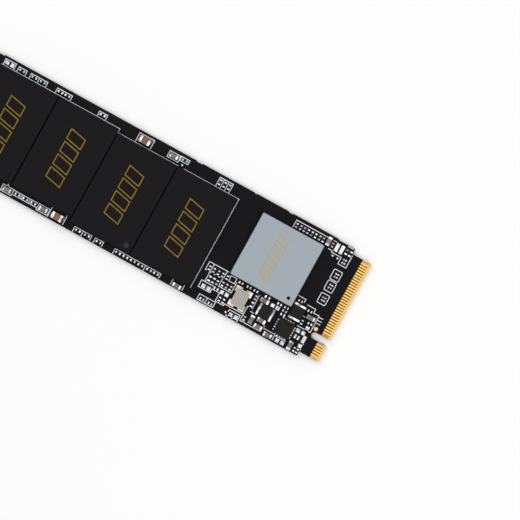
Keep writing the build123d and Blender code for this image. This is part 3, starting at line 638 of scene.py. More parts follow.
PLAIN_FINISHES = {
    # Small ends, leads, lands and balls: solder freezes in small grains and greys as it cools, so
    # the shine differs from joint to joint.
    "Reflowed tin": dict(
        pair=("tin", "tin_grey"), constants=METAL,
        batch=0.8, grain=0.16, rough=(0.25, 0.42), relief=0.01,
    ),
    # Larger ends: matte plating oxidises in patches, so one is bright and the next nearly grey.
    "Dulled tin": dict(
        pair=("tin_old", "tin_dark"), constants=METAL,
        batch=0.9, grain=0.2, rough=(0.3, 0.48), relief=0.012,
    ),
    # The crystal's corners: dried flux tints the solder cream and takes the shine off it.
    "Fluxed solder": dict(
        pair=("flux", "flux_dark"), constants=METAL,
        batch=1.3, grain=0.2, rough=(0.3, 0.5), relief=0.01,
    ),
    # Pads with no part: hot-air levelling is uneven, so thin grey spots show within a pad.
    "Levelled solder": dict(
        pair=("pad", "pad_dull"), constants=METAL, grain=0.4, rough=(0.3, 0.5), relief=0.012
    ),
    # Green-black, with a cut edge that is dull and a little mottled.
    "Package laminate": dict(
        pair=("package_base", "mask"), constants={}, grain=0.2, rough=(0.5, 0.7), relief=0.01
    ),
    "Black ceramic": dict(CERAMIC, pair=("ceramic_black", "ceramic_dusk"), batch=1.1),
    "Dark ceramic": dict(CERAMIC, pair=("ceramic_red", "ceramic_olive"), batch=1.1),
    "Brown ceramic": dict(CERAMIC, pair=("ceramic", "ceramic_pale"), batch=4.0),
    "Grey ceramic": dict(CERAMIC, pair=("ceramic_grey", "ceramic_worn"), batch=2.5),
    # Pressed powder has a dull, slightly sparkling grain.
    "Pressed ferrite": dict(
        pair=("ferrite", "ferrite_pale"), constants={"Specular IOR Level": 0.15},
        grain=0.11, rough=(0.5, 0.75), relief=0.02,
    ),
    # Fine alumina with a chalky surface.
    "Cream ceramic": dict(
        pair=("crystal_ceramic", "alumina"), constants={},
        grain=0.14, rough=(0.55, 0.75), relief=0.008,
    ),
    # Welding heat leaves the ring brown and uneven.
    "Brazed ring": dict(
        pair=("seal_ring", "crystal_lid"), constants=METAL,
        grain=0.25, rough=(0.35, 0.6), relief=0.01,
    ),
    # Grinding leaves a dark steel-grey surface with a fine swirl.
    "Ground silicon": dict(
        pair=("silicon", "lid_grain"), constants={"Metallic": 0.6},
        grain=0.3, rough=(0.2, 0.35), relief=0.004,
    ),
    # Clear polished crystal with a faint frosted face.
    "Quartz": dict(
        pair=("quartz", "lamp"), constants={"IOR": 1.54, "Transmission Weight": 0.6},
        grain=0.3, rough=(0.08, 0.2), relief=0.002,
    ),
    # Screened epoxy ink is thinner in places and goes a little grey there.
    "White ink": dict(
        pair=("ink", "ink_worn"), constants={}, grain=0.5, rough=(0.5, 0.7), relief=0.006
    ),
    # A drop of paint in the dimple: smooth, with a faint unevenness.
    "Black paint": dict(
        pair=("paint", "mask"), constants=MATTE_BLACK, grain=0.2, rough=(0.4, 0.55), relief=0.004
    ),
    # Pad-printed ink: dull, and thin in places so that the ground dims it.
    "Gold marking": dict(
        pair=("mark", "mark_worn"), constants={"Specular IOR Level": 0.15},
        grain=0.3, rough=(0.45, 0.65), relief=0.004,
    ),
}


def plain_finish(name):
    """A finish from the table, made when a step first asks for it."""
    return bpy.data.materials.get(name) or varied_finish(name, **PLAIN_FINISHES[name])


def solder_mask_finish():
    """Black solder mask, bare laminate where it is opened for the contacts, and a routed edge."""
    # Photo-imaged mask is a satin film: copper under it shows as faint raised lines with rounded
    # shoulders. The tongue has no mask, so laminate shows between the contacts, dark brown there
    # from its own colour and painted shade between the contacts, and pale laminate beside the last
    # ones.
    # The bevel is ground through the plies and shows them as bands of pale raw glass along the
    # edge.
    colours = bpy.context.scene.card_colours
    material, add, shader, place = start_finish("Solder mask", MATTE_BLACK)
    axes = add("SeparateXYZ", {"Vector": place}).outputs
    patches = add("TexNoise", {"Vector": place, "Scale": per(6), "Detail": 2.0})
    base = add("Mix", {0: patches, 6: colours.mask, 7: colours.mask_trace}, data_type="RGBA")
    # Glass cloth has a yarn about every 0.45 mm.
    yarns = {"Color1": colours.laminate, "Color2": colours.laminate_deep}
    shaded_weave = add("TexChecker", {"Vector": place, "Scale": per(0.45), **yarns})
    plies = add(
        "TexWave",
        {"Vector": place, "Scale": per(0.13) / math.pi, "Distortion": 1.5, "Detail": 2.0},
        bands_direction="Z",
    ).outputs["Fac"]
    raw = add("Mix", {0: plies, 6: colours.bevel, 7: colours.bevel_deep}, data_type="RGBA")

    aside = add("Math", {0: axes["Y"]}, operation="ABSOLUTE")
    outside = add("Math", {0: aside, 1: CONTACT_HIGH.y}, operation="GREATER_THAN")
    spans = sorted(box[2:] for box in node_boxes("edge_contacts_top"))
    gaps = [(above[0] - below[1], above[0] + below[1]) for below, above in zip(spans, spans[1:])]
    key_width, key_ends = max(gaps)
    by_key = add("Math", {0: axes["Y"], 1: key_ends / 2, 2: key_width / 2}, operation="COMPARE")
    # Beside the key the laminate is paler, part way to the tongue's colour.
    rubbed = add("Math", {0: by_key, 1: KEY_PALING}, operation="MULTIPLY")
    clear = add("Math", {0: outside, 1: rubbed}, operation="MAXIMUM")
    # Between the contacts the dark yarns carry painted shade as well as the laminate's own brown;
    # outside the last contacts the pale laminate has none.
    tongue = add("Mix", {0: clear, 6: shaded_weave, 7: colours.tongue}, data_type="RGBA")
    opening = CONTACT_LOW.x + bpy.context.scene.card_solder.mask_lap
    for start, bare in ((opening, tongue), (CONTACT_HIGH.x, raw)):
        past = add("Math", {0: axes["X"], 1: start}, operation="GREATER_THAN")
        base = add("Mix", {0: past, 6: base, 7: bare}, data_type="RGBA")

    normal = add("NewGeometry", {}).outputs["True Normal"]
    facing = add("SeparateXYZ", {"Vector": normal}).outputs["Z"]
    level = add("Math", {0: facing}, operation="ABSOLUTE")
    side = add("Math", {0: level, 1: LEVEL_NORMAL}, operation="LESS_THAN")
    inner = add("Math", {0: axes["X"], 1: CONTACT_HIGH.x}, operation="LESS_THAN")
    cut = add("Math", {0: side, 1: inner}, operation="MULTIPLY")
    routed = add("Mix", {0: plies, 6: colours.laminate_edge, 7: colours.mask}, data_type="RGBA")
    base = add("Mix", {0: cut, 6: base, 7: routed}, data_type="RGBA")

    traces = add(
        "TexBrick",
        {"Vector": place, "Scale": per(1), "Mortar Size": 0.09, "Mortar Smooth": 0.6,
         "Brick Width": 4.6, "Row Height": 0.42},
        offset=0.37, squash=0.6, squash_frequency=3,
    ).outputs["Fac"]
    film = add("TexNoise", {"Vector": place, "Scale": per(0.3), "Detail": 3.0})
    height = add("Math", {0: film, 1: traces}, operation="SUBTRACT")
    surface(add, shader, base, height, rough=(0.45, 0.55), relief=0.012)
    return material


def hard_gold_finish():
    """Hard gold in the plated screw notch."""
    return drawn_finish("Hard gold", **GOLD_LINES, **GOLD_SURFACE)


def contact_finish(name, row):
    """Hard gold on a row of contacts, which the mask laps over at their inner ends."""
    # A contact's etched sides roll off and reflect less than its flat middle; that is painted into
    # the colour as painted shade, darker gold along both sides.
    sizes = bpy.context.scene.card_solder
    colours = bpy.context.scene.card_colours
    material, add, shader, place = start_finish(name, METAL)
    gold, lines = drawn_colour(add, place, **GOLD_LINES)
    axes = add("SeparateXYZ", {"Vector": place}).outputs
    (low, high), (next_low, _) = sorted(box[2:] for box in node_boxes(row))[:2]
    half = (high - low) / 2
    along = add("Math", {0: axes["Y"], 1: (low + high) / 2}, operation="SUBTRACT")
    across = add("Math", {0: along, 1: (next_low - low) / 2}, operation="PINGPONG")
    flat = half - sizes.contact_side
    # Painted shade along the sides: the gold darkens from the flat middle out to each side.
    rolled = add("MapRange", {"Value": across, "From Min": flat, "From Max": half})
    plated = add("Mix", {0: rolled, 6: gold, 7: colours.gold_side_shade}, data_type="RGBA")
    opening = CONTACT_LOW.x + sizes.mask_lap
    bare = add("Math", {0: axes["X"], 1: opening}, operation="GREATER_THAN")
    base = add("Mix", {0: bare, 6: colours.mask, 7: plated}, data_type="RGBA")
    surface(add, shader, base, lines, **GOLD_SURFACE)
    feed(shader, {"Metallic": bare})
    return material


def test_pad_finish():
    """Thin gold on the round test pads, with a painted highlight in the middle."""
    # A probe pad gets a painted highlight: it is paler in the middle and goes to its own gold
    # towards the rim.
    colours = bpy.context.scene.card_colours
    material, add, shader, place = start_finish("Immersion gold", METAL)
    nearest = 1.0
    for x0, x1, y0, y1 in node_boxes("test_points"):
        middle = ((x0 + x1) / 2, (y0 + y1) / 2, BOARD_HIGH.z)
        away = add("VectorMath", {0: place, 1: middle}, operation="DISTANCE")
        share = add("Math", {0: away, 1: (x1 - x0) / 2}, operation="DIVIDE")
        nearest = add("Math", {0: share, 1: nearest}, operation="MINIMUM")
    # Painted highlight: pale in the middle of each pad, fading to the rim's gold.
    rim = add("MapRange", {"Value": nearest, "From Min": 0.45, "From Max": 0.9})
    base = add("Mix", {0: rim, 6: colours.pad_gold_highlight, 7: colours.pad_gold_rim}, data_type="RGBA")
    grain = add("TexNoise", {"Vector": place, "Scale": per(0.12), "Detail": 3.0})
    surface(add, shader, base, grain, rough=(0.25, 0.4), relief=0.006)
    return material


def moulded_finish(name, base_top, pair, mark=None):
    """Epoxy moulding compound, with the package's own laminate below base_top, and a pin's mark
    with a painted sheen on it, if there is one."""
    # Silica filler gives a fine dull grain, drawn here about three times as coarse as it is.
    # A moulding pin leaves a round mark that is smoother than the grain; its sheen is painted into
    # the colour as a paler round spot, a painted sheen.
    colours = bpy.context.scene.card_colours
    tone, filler = tones(pair)
    material, add, shader, place = start_finish(name, MATTE_BLACK)
    grain = add("TexNoise", {"Vector": place, "Scale": per(0.15), "Detail": 5.0})
    spread = add("MapRange", {"Value": grain, "From Min": 0.35, "From Max": 0.75})
    base = add("Mix", {0: spread, 6: tone, 7: filler}, data_type="RGBA")
    if mark:
        centre, radius = mark
        away = add("VectorMath", {0: place, 1: centre}, operation="DISTANCE")
        # Painted sheen: a paler round spot on the pin's mark.
        pressed = add("Math", {0: away, 1: radius}, operation="LESS_THAN")
        base = add("Mix", {0: pressed, 6: base, 7: colours.pin_mark_sheen}, data_type="RGBA")
    height = add("SeparateXYZ", {"Vector": place}).outputs["Z"]
    below = add("Math", {0: height, 1: base_top}, operation="LESS_THAN")
    base = add("Mix", {0: below, 6: base, 7: colours.package_base}, data_type="RGBA")
    surface(add, shader, base, grain, rough=(0.55, 0.72), relief=0.01)
    return material


def nickel_lid_finish():
    """Matte nickel on the controller's lid, with a row of faded leaning blocks."""
    # Plating over a blasted lid scatters light evenly, with a fine grain and no streaks. The faded
    # marking is in the finish, because nothing stands above the lid.
    ink = bpy.context.scene.card_print
    colours = bpy.context.scene.card_colours
    material, add, shader, place = start_finish("Matte nickel", METAL)
    grain = add("TexNoise", {"Vector": place, "Scale": per(0.12), "Detail": 4.0})
    plated = add("Mix", {0: grain, 6: colours.lid, 7: colours.lid_grain}, data_type="RGBA")

    middle = (LID_LOW + LID_HIGH) / 2 - Vector((ink.lid_mark_offset, 0, 0))
    step = (ink.lid_mark_length + ink.mark_gap) / ink.mark_blocks
    tall = step - ink.mark_gap
    lean = (ink.mark_slant / ink.lid_mark_width, 1, 0)
    offset = add("VectorMath", {0: place, 1: middle}, operation="SUBTRACT")
    across = add("SeparateXYZ", {"Vector": offset}).outputs["X"]
    along = add("VectorMath", {0: offset, 1: lean}, operation="DOT_PRODUCT")
    to_block = (
        ("ADD", ink.lid_mark_length / 2), ("DIVIDE", step), ("FRACT", 0),
        ("SUBTRACT", tall / step / 2), ("ABSOLUTE", 0), ("MULTIPLY", step), ("SUBTRACT", tall / 2),
    )
    chains = (
        (across, (("ABSOLUTE", 0), ("SUBTRACT", ink.lid_mark_width / 2))),
        (along, (("ABSOLUTE", 0), ("SUBTRACT", ink.lid_mark_length / 2))),
        (along, to_block),
    )
    # Depth inside a block's outline: below zero inside, and in the middle by more than a line.
    depth = -1.0
    for value, chain in chains:
        for operation, by in chain:
            value = add("Math", {0: value, 1: by}, operation=operation)
        depth = add("Math", {0: value, 1: depth}, operation="MAXIMUM")
    line = add("Math", {0: depth, 1: -ink.lid_mark_line}, operation="GREATER_THAN")
    fade = add("MapRange", {"Value": line, "To Min": 0.35, "To Max": 0.7})
    inside = add("Math", {0: depth, 1: 0.0}, operation="LESS_THAN")
    cover = add("Math", {0: inside, 1: fade}, operation="MULTIPLY")
    base = add("Mix", {0: cover, 6: plated, 7: colours.lid_mark}, data_type="RGBA")
    surface(add, shader, base, grain, rough=(0.42, 0.56), relief=0.006)
    return material


def resistor_finish():
    """Chip resistor: alumina with a black glass coat on top."""
    # Only the top is coated, so the sides stay white and chalky.
    colours = bpy.context.scene.card_colours
    material, add, shader, place = start_finish("Coated alumina", {"Specular IOR Level": 0.2})
    normal = add("NewGeometry", {}).outputs["Normal"]
    facing = add("SeparateXYZ", {"Vector": normal}).outputs["Z"]
    top = add("MapRange", {"Value": facing, "From Min": 0.3, "From Max": 0.8})
    grain = add("TexNoise", {"Vector": place, "Scale": per(0.1), "Detail": 3.0})
    coat = add("Mix", {0: grain, 6: colours.coat, 7: colours.mask_trace}, data_type="RGBA")
    base = add("Mix", {0: top, 6: colours.alumina, 7: coat}, data_type="RGBA")
    surface(add, shader, base, grain, rough=(0.35, 0.55), relief=0.006)
    return material


def lamp_finish():
    """White lamp moulding with a cream phosphor window."""
    # The resin is glossy and the phosphor under it reads as a cream bar across the middle.
    colours = bpy.context.scene.card_colours
    constants = {"Roughness": 0.22, "Coat Weight": 0.3}
    material, add, shader, place = start_finish("Lamp resin", constants)
    across = add("SeparateXYZ", {"Vector": place}).outputs["Y"]
    middle, reach = (LAMP_LOW.y + LAMP_HIGH.y) / 2, (LAMP_HIGH.y - LAMP_LOW.y) / 2
    offset = add("Math", {0: across, 1: middle}, operation="SUBTRACT")
    away = add("Math", {0: offset}, operation="ABSOLUTE")
    inner, outer = (share * reach for share in LAMP_WINDOW)
    window = add("MapRange", {"Value": away, "From Min": inner, "From Max": outer})
    base = add("Mix", {0: window, 6: colours.lamp_phosphor, 7: colours.lamp}, data_type="RGBA")
    feed(shader, {"Base Color": base})
    return material


def crystal_lid_finish():
    """Seam-welded nickel-iron lid."""
    # Rolled sheet: fine lines along its length, warmer than the tin round it.
    return drawn_finish(
        "Rolled nickel-iron", ("crystal_lid", "lid_grain"),
        grain=0.08, stretch=(1, 0.06, 1), rough=(0.3, 0.5), relief=0.004,
    )


# Operators


class CARD_OT_board(bpy.types.Operator):
    """Finish the board, its contacts and its gold"""

    bl_idname = "card.board"
    bl_label = "Board and contacts"

    def execute(self, context):
        dress_nodes(["circuit_board"], solder_mask_finish())
        top, below = "edge_contacts_top", "edge_contacts_bottom"
        dress_nodes([top], contact_finish("Hard gold contacts", top))
        dress_nodes([below], contact_finish("Hard gold contacts below", below))
        dress_nodes(["screw_notch_plating"], hard_gold_finish())
        dress_nodes(["test_points"], test_pad_finish())
        return {"FINISHED"}


class CARD_OT_packages(bpy.types.Operator):
    """Finish the memory packages and the controller"""

    bl_idname = "card.packages"
    bl_label = "Packages"

    def execute(self, context):
        sizes = context.scene.card_solder
        memory = [f"memory_package_{i + 1}" for i in range(len(MEMORY_BOXES))]
        low, high = MEMORY_BOXES[MARKED_PACKAGE]
        inset = sizes.mould_mark_inset
        pin_sheen_spot = Vector((high.x - inset, low.y + inset, high.z)), sizes.pin_mark_sheen
        base_top = low.z + PACKAGE_LAMINATE
        memory_mould = moulded_finish(
            "Memory moulding", base_top, ("mould", "mould_pale"), pin_sheen_spot
        )
        dress_nodes(memory, memory_mould)
        round_nodes(memory, sizes.package_round)
        dress_nodes(["controller_lid"], nickel_lid_finish())
        dress_nodes(["controller_substrate"], plain_finish("Package laminate"))
        dress_nodes(["controller_die"], plain_finish("Ground silicon"))
        chip_mould = moulded_finish(
            "Power chip moulding", BOARD_HIGH.z, ("chip_mould", "chip_mould_pale")
        )
        dress_nodes(["power_chip_body"], chip_mould)
        round_nodes(["power_chip_body"], sizes.package_round)
        return {"FINISHED"}


CAPACITORS = {
    "Black ceramic": ["lane_capacitor_bodies"],
    "Dark ceramic": ["small_capacitor_bodies"],
    "Brown ceramic": ["large_capacitor_body_1", "large_capacitor_body_2"],
    "Grey ceramic": ["edge_capacitor_bodies", "power_capacitor_bodies"],
}
DULLED_ENDS = ("edge_", "power_capacitor", "large_capacitor", "inductor")


class CARD_OT_chip_parts(bpy.types.Operator):
    """Finish the chip resistors, capacitors, inductors and lamps"""

    bl_idname = "card.chip_parts"
    bl_label = "Chip parts"

    def execute(self, context):
        sizes = context.scene.card_solder
        names = list(frame["nodes"])
        ends = [n for n in names if "_ends" in n]
        bright = [n for n in ends if not n.startswith(DULLED_ENDS)]
        dress_nodes(bright + ["power_chip_leads"], plain_finish("Reflowed tin"))
        dress_nodes([n for n in ends if n not in bright], plain_finish("Dulled tin"))
        dress_nodes(["bare_pads"], plain_finish("Levelled solder"))
        round_nodes(ends, sizes.end_round)
        resistors = [n for n in names if n.endswith("resistor_bodies")]
        dress_nodes(resistors, resistor_finish())
        lamps = ["indicator_lamp_body_1", "indicator_lamp_body_2"]
        dress_nodes(lamps, lamp_finish())
        round_nodes(resistors + lamps, sizes.body_round)
        for name, bodies in CAPACITORS.items():
            dress_nodes(bodies, plain_finish(name))
            round_nodes(bodies, sizes.body_round)
        cores = ["inductor_core_1", "inductor_core_2"]
        dress_nodes(cores, plain_finish("Pressed ferrite"))
        round_nodes(cores, sizes.core_round, segments=3)
        return {"FINISHED"}


class CARD_OT_crystal(bpy.types.Operator):
    """Finish the clock crystal"""

    bl_idname = "card.crystal"
    bl_label = "Crystal"

    def execute(self, context):
        dress_nodes(["crystal_tray"], plain_finish("Cream ceramic"))
        dress_nodes(["crystal_pads"], plain_finish("Fluxed solder"))
        dress_nodes(["crystal_lid"], crystal_lid_finish())
        dress_nodes(["crystal_seal_ring"], plain_finish("Brazed ring"))
        dress_nodes(["crystal_blank"], plain_finish("Quartz"))
        round_nodes(["crystal_lid"], context.scene.card_solder.end_round / 2)
        return {"FINISHED"}


def solder_ball(x, y, low, high, radius):
    """A reflowed ball: a sphere pressed flat where it meets the two pads."""
    deselect_all()
    bpy.ops.mesh.primitive_uv_sphere_add(
        segments=8, ring_count=6, radius=radius, location=(x, y, (low + high) / 2)
    )
    ball = bpy.context.object
    bpy.ops.object.transform_apply(location=True, rotation=True, scale=True)
    vertices = ball.data.vertices
    for plane, side in ((low, -1), (high, 1)):
        for vertex in vertices:
            vertex.select = (vertex.co.z - plane) * side > 0
        for part in (*ball.data.edges, *ball.data.polygons):
            part.select = all(vertices[v].select for v in part.vertices)
        with edit_mode():
            bpy.ops.transform.resize(value=(1, 1, 0), center_override=(x, y, plane))
    return ball


def ball_ring(name, cad_node, columns, rows, pitch, radius):
    """The outer ring of a ball grid, in place of a CAD node."""
    low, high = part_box(cad_node)
    x = (low.x + high.x) / 2 - (columns - 1) / 2 * pitch
    y = (low.y + high.y) / 2 - (rows - 1) / 2 * pitch
    across = solder_ball(x, y, low.z, high.z, radius)
    repeat(across, columns, (pitch, 0, 0))
    repeat(across, 2, (0, (rows - 1) * pitch, 0))
    along = solder_ball(x, y + pitch, low.z, high.z, radius)
    repeat(along, rows - 2, (0, pitch, 0))
    repeat(along, 2, ((columns - 1) * pitch, 0, 0))
    ring = join_pieces([across, along], name)
    bpy.ops.object.shade_smooth_by_angle(angle=BALL_CREASE)
    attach(ring, BODY)
    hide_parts(cad_node)
    return ring


class CARD_OT_solder_balls(bpy.types.Operator):
    """Model the solder balls under the packages"""

    bl_idname = "card.solder_balls"
    bl_label = "Solder balls"

    def execute(self, context):
        sizes = context.scene.card_solder
        tin = plain_finish("Reflowed tin")
        grid = sizes.memory_columns, sizes.memory_rows, sizes.memory_pitch, sizes.ball_radius
        for i in range(1, len(MEMORY_BOXES) + 1):
            dress(ball_ring(f"memory_solder_{i}", f"memory_balls_{i}", *grid), tin)
        balls = sizes.controller_balls
        grid = balls, balls, sizes.controller_pitch, sizes.ball_radius
        dress(ball_ring("controller_solder", "controller_balls", *grid), tin)
        return {"FINISHED"}


class CARD_OT_lands(bpy.types.Operator):
    """Model the solder lands that show past the power chip's leads"""

    bl_idname = "card.lands"
    bl_label = "Solder lands"

    def execute(self, context):
        sizes = context.scene.card_solder
        low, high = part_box("power_chip_leads")
        middle = (low + high) / 2
        first = middle.y - (sizes.chip_leads - 1) / 2 * sizes.lead_pitch
        half = sizes.land_width / 2
        row = add_tile(low.x - sizes.land_reach, low.x, first - half, first + half, low.z)
        with edit_mode():
            bpy.ops.mesh.bevel(affect="VERTICES", offset=sizes.land_corner, segments=2)
        raise_tile(sizes.land_height)
        repeat(row, sizes.chip_leads, (0, sizes.lead_pitch, 0))
        sides = [row]
        for turn in (90, 180, 270):
            pick(row)
            bpy.ops.object.duplicate()
            sides.append(context.object)
            with edit_mode():
                bpy.ops.mesh.select_all(action="SELECT")
                bpy.ops.transform.rotate(
                    value=math.radians(turn), orient_axis="Z", center_override=middle
                )
        lands = join_pieces(sides, "power_chip_lands")
        dress(lands, plain_finish("Reflowed tin"))
        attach(lands, BODY)
        return {"FINISHED"}


# Printed lines, in millimetres in the card's own frame

MEMORY_PATHS = (
    ((-35.3, 9.45), (-11.15, 9.45), (-11.15, 8.7), (1.2, 8.7)),
    ((2.3, 8.7), (13.51, 8.7), (13.51, -9.4)),
)
PIN_TRIANGLES = ((1.67, 9.14, -90), (-23.8, -9.0, 90))
TRIANGLE_RADIUS = 0.3
TRIANGLE_CORNERS = 3
# The upper strip's outlines stand on the memory line, which steps in, and parts in the framed
# stretch have closed outlines. Left of its own step the lower strip's outlines are closed.
MEMORY_STEP = -11.15
UPPER_BASES = (9.45, 8.7)
FRAMED_START = -3.0
FRAMED_END = 3.0
LOWER_STEP = -11.0
LOWER_END = 10.0
STRIP_END = 14.0
LOWER_TICKS = (
    ((-14.98, -8.7), (-14.98, -10.6)),
    ((-11.92, -8.7), (-11.92, -10.6)),
    ((10.1, -9.5), (10.1, -10.6)),
    ((12.42, -9.5), (12.42, -10.6)),
)
CONTACT_BARS = (
    ((36.3, -2.85), (37.1, -2.85)),
    ((36.3, -3.45), (37.1, -3.45)),
    ((36.3, -4.0), (37.1, -4.0)),
)
LANE_MARGINS = (0.48, 0.38, 0.44)
CORNER_PATHS = (
    ((30.75, 10.72), (30.75, 10.45), (24.33, 10.45), (24.33, 8.95)),
    ((32.0, 10.45), (32.62, 10.45)),
    ((31.75, 8.72), (32.45, 8.72)),
    ((32.52, 8.75), (32.52, 8.4), (34.52, 8.4), (34.52, 7.15), (36.14, 7.15), (36.14, 9.75)),
    ((34.7, 10.75), (35.9, 10.75)),
)
LAMP_DOTS = ((33.0, 7.95), (34.0, 7.95))
DOT_RADIUS = 0.18
DOT_CORNERS = 10
PAINT_CORNERS = 24
POWER_PATHS = (
    ((17.7, -5.14), (14.3, -5.14), (14.3, -3.55), (18.3, -3.55)),
    ((15.25, -5.14), (15.25, -3.55)),
    ((17.93, -4.9), (17.93, -3.55)),
    ((18.9, -4.93), (18.9, -3.9), (20.05, -3.9), (20.05, -4.93), (18.9, -4.93)),
    ((17.8, -5.14), (17.8, -6.62), (20.35, -6.62), (20.35, -4.45)),
    ((15.22, -5.3), (15.22, -6.9), (16.8, -6.9), (16.8, -7.1)),
    (
        (16.8, -7.1), (14.62, -7.1), (14.62, -8.4), (17.0, -8.4), (17.0, -7.67), (18.55, -7.67),
        (18.55, -9.25), (20.25, -9.25), (20.25, -8.9), (24.1, -8.9), (24.1, -7.28),
        (25.02, -7.28), (25.02, -4.4),
    ),
    ((15.5, -10.5), (15.5, -9.45), (18.72, -9.45), (18.72, -10.5), (15.5, -10.5)),
    ((17.1, -10.5), (17.1, -9.45)),
    ((21.5, -10.55), (21.5, -9.38), (23.72, -9.38), (23.72, -10.55), (21.5, -10.55)),
    ((24.1, -8.9), (24.1, -10.15), (28.35, -10.15)),
    ((28.42, -7.95), (28.42, -9.35), (30.6, -9.35)),
    ((30.8, -10.4), (30.8, -9.52), (33.15, -9.52)),
    ((25.02, -7.85), (26.4, -7.85)),
    ((31.2, -1.2), (32.62, -1.2), (32.62, -1.95)),
    ((33.4, -1.9), (35.0, -1.9), (35.0, -2.66), (36.12, -2.66), (36.12, -6.0), (33.4, -6.0)),
    ((33.5, -4.02), (34.7, -4.02)),
    ((36.08, -8.5), (36.08, -9.7)),
)
POWER_BLOCK = (35.45, 36.05, -8.35, -7.0)


class CARD_OT_memory_print(bpy.types.Operator):
    """Print the line round the memory packages"""

    bl_idname = "card.memory_print"
    bl_label = "Memory print"

    def execute(self, context):
        pieces = print_paths(MEMORY_PATHS, taken_boxes(), context.scene.card_print.memory_line)
        for x, y, turn in PIN_TRIANGLES:
            shape = TRIANGLE_RADIUS * MM, TRIANGLE_CORNERS, BOARD_HIGH.z, math.radians(turn)
            pieces.append(print_patch(x * MM, y * MM, *shape))
        finish_print(pieces, "memory_print", plain_finish("White ink"))
        return {"FINISHED"}


class CARD_OT_strip_print(bpy.types.Operator):
    """Print the outlines along both long edges of the memory"""

    bl_idname = "card.strip_print"
    bl_label = "Edge print"

    def execute(self, context):
        ink = plain_finish("White ink")
        taken = taken_boxes()
        chips = chip_boxes("memory_resistor", "edge_capacitor", "bare_pads")
        strip = [box for box in chips if box[1] < STRIP_END * MM]
        upper = [box for box in strip + chip_boxes("large_capacitor") if box[2] > 0]
        framed = [b for b in upper if FRAMED_START * MM < b[0] and b[1] < FRAMED_END * MM]
        pieces = []
        for box in framed:
            pieces += outline_runs([box], None, taken)
        for left, base in zip((True, False), UPPER_BASES):
            side = [b for b in upper if (b[0] < MEMORY_STEP * MM) == left and b not in framed]
            pieces += outline_runs(side, base * MM, taken)
        finish_print(pieces, "upper_edge_print", ink)

        lower = [box for box in strip if box[3] < 0 and box[1] < LOWER_END * MM]
        line = context.scene.card_print.line
        pieces = []
        for box in (box for box in lower if box[0] < LOWER_STEP * MM):
            pieces += outline_runs([box], None, taken)
        runs = [box for box in lower if box[0] > LOWER_STEP * MM]
        pieces += outline_runs(runs, BOARD_LOW.y + line, taken)
        pieces += print_paths(LOWER_TICKS, taken, line)
        finish_print(pieces, "lower_edge_print", ink)
        return {"FINISHED"}


class CARD_OT_corner_print(bpy.types.Operator):
    """Print the outlines beside the contacts and in the upper corner"""

    bl_idname = "card.corner_print"
    bl_label = "Contact print"

    def execute(self, context):
        sizes = context.scene.card_print
        pieces = print_paths(CONTACT_BARS + CORNER_PATHS, taken_boxes(), sizes.line)
        shape = DOT_RADIUS * MM, DOT_CORNERS, BOARD_HIGH.z
        pieces += [print_patch(x * MM, y * MM, *shape) for x, y in LAMP_DOTS]
        lanes = cluster(chip_boxes("lane_capacitor"), sizes.share_gap)
        left, right, along = (margin * MM for margin in LANE_MARGINS)
        for x0, x1, y0, y1 in sorted(map(union, lanes), key=lambda box: box[2])[:-1]:
            pieces.append(print_outline(x0 - left, x1 + right, y0 - along, y1 + along))
        finish_print(pieces, "corner_print", plain_finish("White ink"))
        return {"FINISHED"}


class CARD_OT_power_print(bpy.types.Operator):
    """Print the outlines in the power area"""

    bl_idname = "card.power_print"
    bl_label = "Power print"

    def execute(self, context):
        pieces = print_paths(POWER_PATHS, taken_boxes(), context.scene.card_print.line)
        pieces.append(print_block(*(edge * MM for edge in POWER_BLOCK)))
        finish_print(pieces, "power_print", plain_finish("White ink"))
        return {"FINISHED"}


def slanted_block(x0, x1, y0, y1, z, slant):
    """A flat block that leans along Y towards -X."""
    tile = add_tile(x0, x1, y0, y1, z)
    for part in (*tile.data.polygons, *tile.data.edges):
        part.select = False
    for vertex in tile.data.vertices:
        vertex.select = vertex.co.x < (x0 + x1) / 2
    with edit_mode():
        bpy.ops.transform.translate(value=(0, slant, 0))
    return tile


def mark_blocks(x, y, z, width, run, blocks, gap, slant):
    """A row of leaning blocks along Y, about a middle point."""
    step = (run + gap) / blocks
    first = y - run / 2 - slant / 2
    places = [(first + i * step, first + (i + 1) * step - gap) for i in range(blocks)]
    sides = x - width / 2, x + width / 2
    return [slanted_block(*sides, y0, y1, z, slant) for y0, y1 in places]


class CARD_OT_package_marks(bpy.types.Operator):
    """Mark the memory packages with plain outlined blocks"""

    bl_idname = "card.package_marks"
    bl_label = "Package marks"

    def execute(self, context):
        ink = context.scene.card_print
        finish = plain_finish("Gold marking")
        shape = ink.mark_width, ink.mark_length, ink.mark_blocks, ink.mark_gap, ink.mark_slant
        for i, (low, high) in enumerate(MEMORY_BOXES, start=1):
            middle = (low + high) / 2
            place = middle.x + ink.mark_offset, middle.y - ink.mark_offset, high.z
            blocks = mark_blocks(*place, *shape)
            for block in blocks:
                pick(block)
                hollow_tile(ink.mark_line, 0)
                raise_tile(ink.thickness)
            finish_print(blocks, f"memory_mark_{i}", finish)
        return {"FINISHED"}


class CARD_OT_pin_dot(bpy.types.Operator):
    """Paint the pin-one dot in the lid's dimple"""

    bl_idname = "card.pin_dot"
    bl_label = "Pin-one dot"

    def execute(self, context):
        ink = context.scene.card_print
        x, y = LID_HIGH.x - ink.dot_inset, LID_LOW.y + ink.dot_inset
        dot = print_patch(x, y, ink.dot_radius, PAINT_CORNERS, LID_HIGH.z - ink.dot_depth)
        finish_print([dot], "pin_one_dot", plain_finish("Black paint"))
        return {"FINISHED"}


# Light panels: their offset from the middle of the picture and their side, in metres
PANELS = (
    ("overhead", (0, 0, 0.8), 0.8, "over_light"),
    ("left_panel", (-0.5, 0.35, 0.45), 0.5, "side_light"),
    ("right_panel", (0.5, -0.2, 0.5), 0.5, "side_light"),
)
CAMERA_RANGE = (0.01, 20)


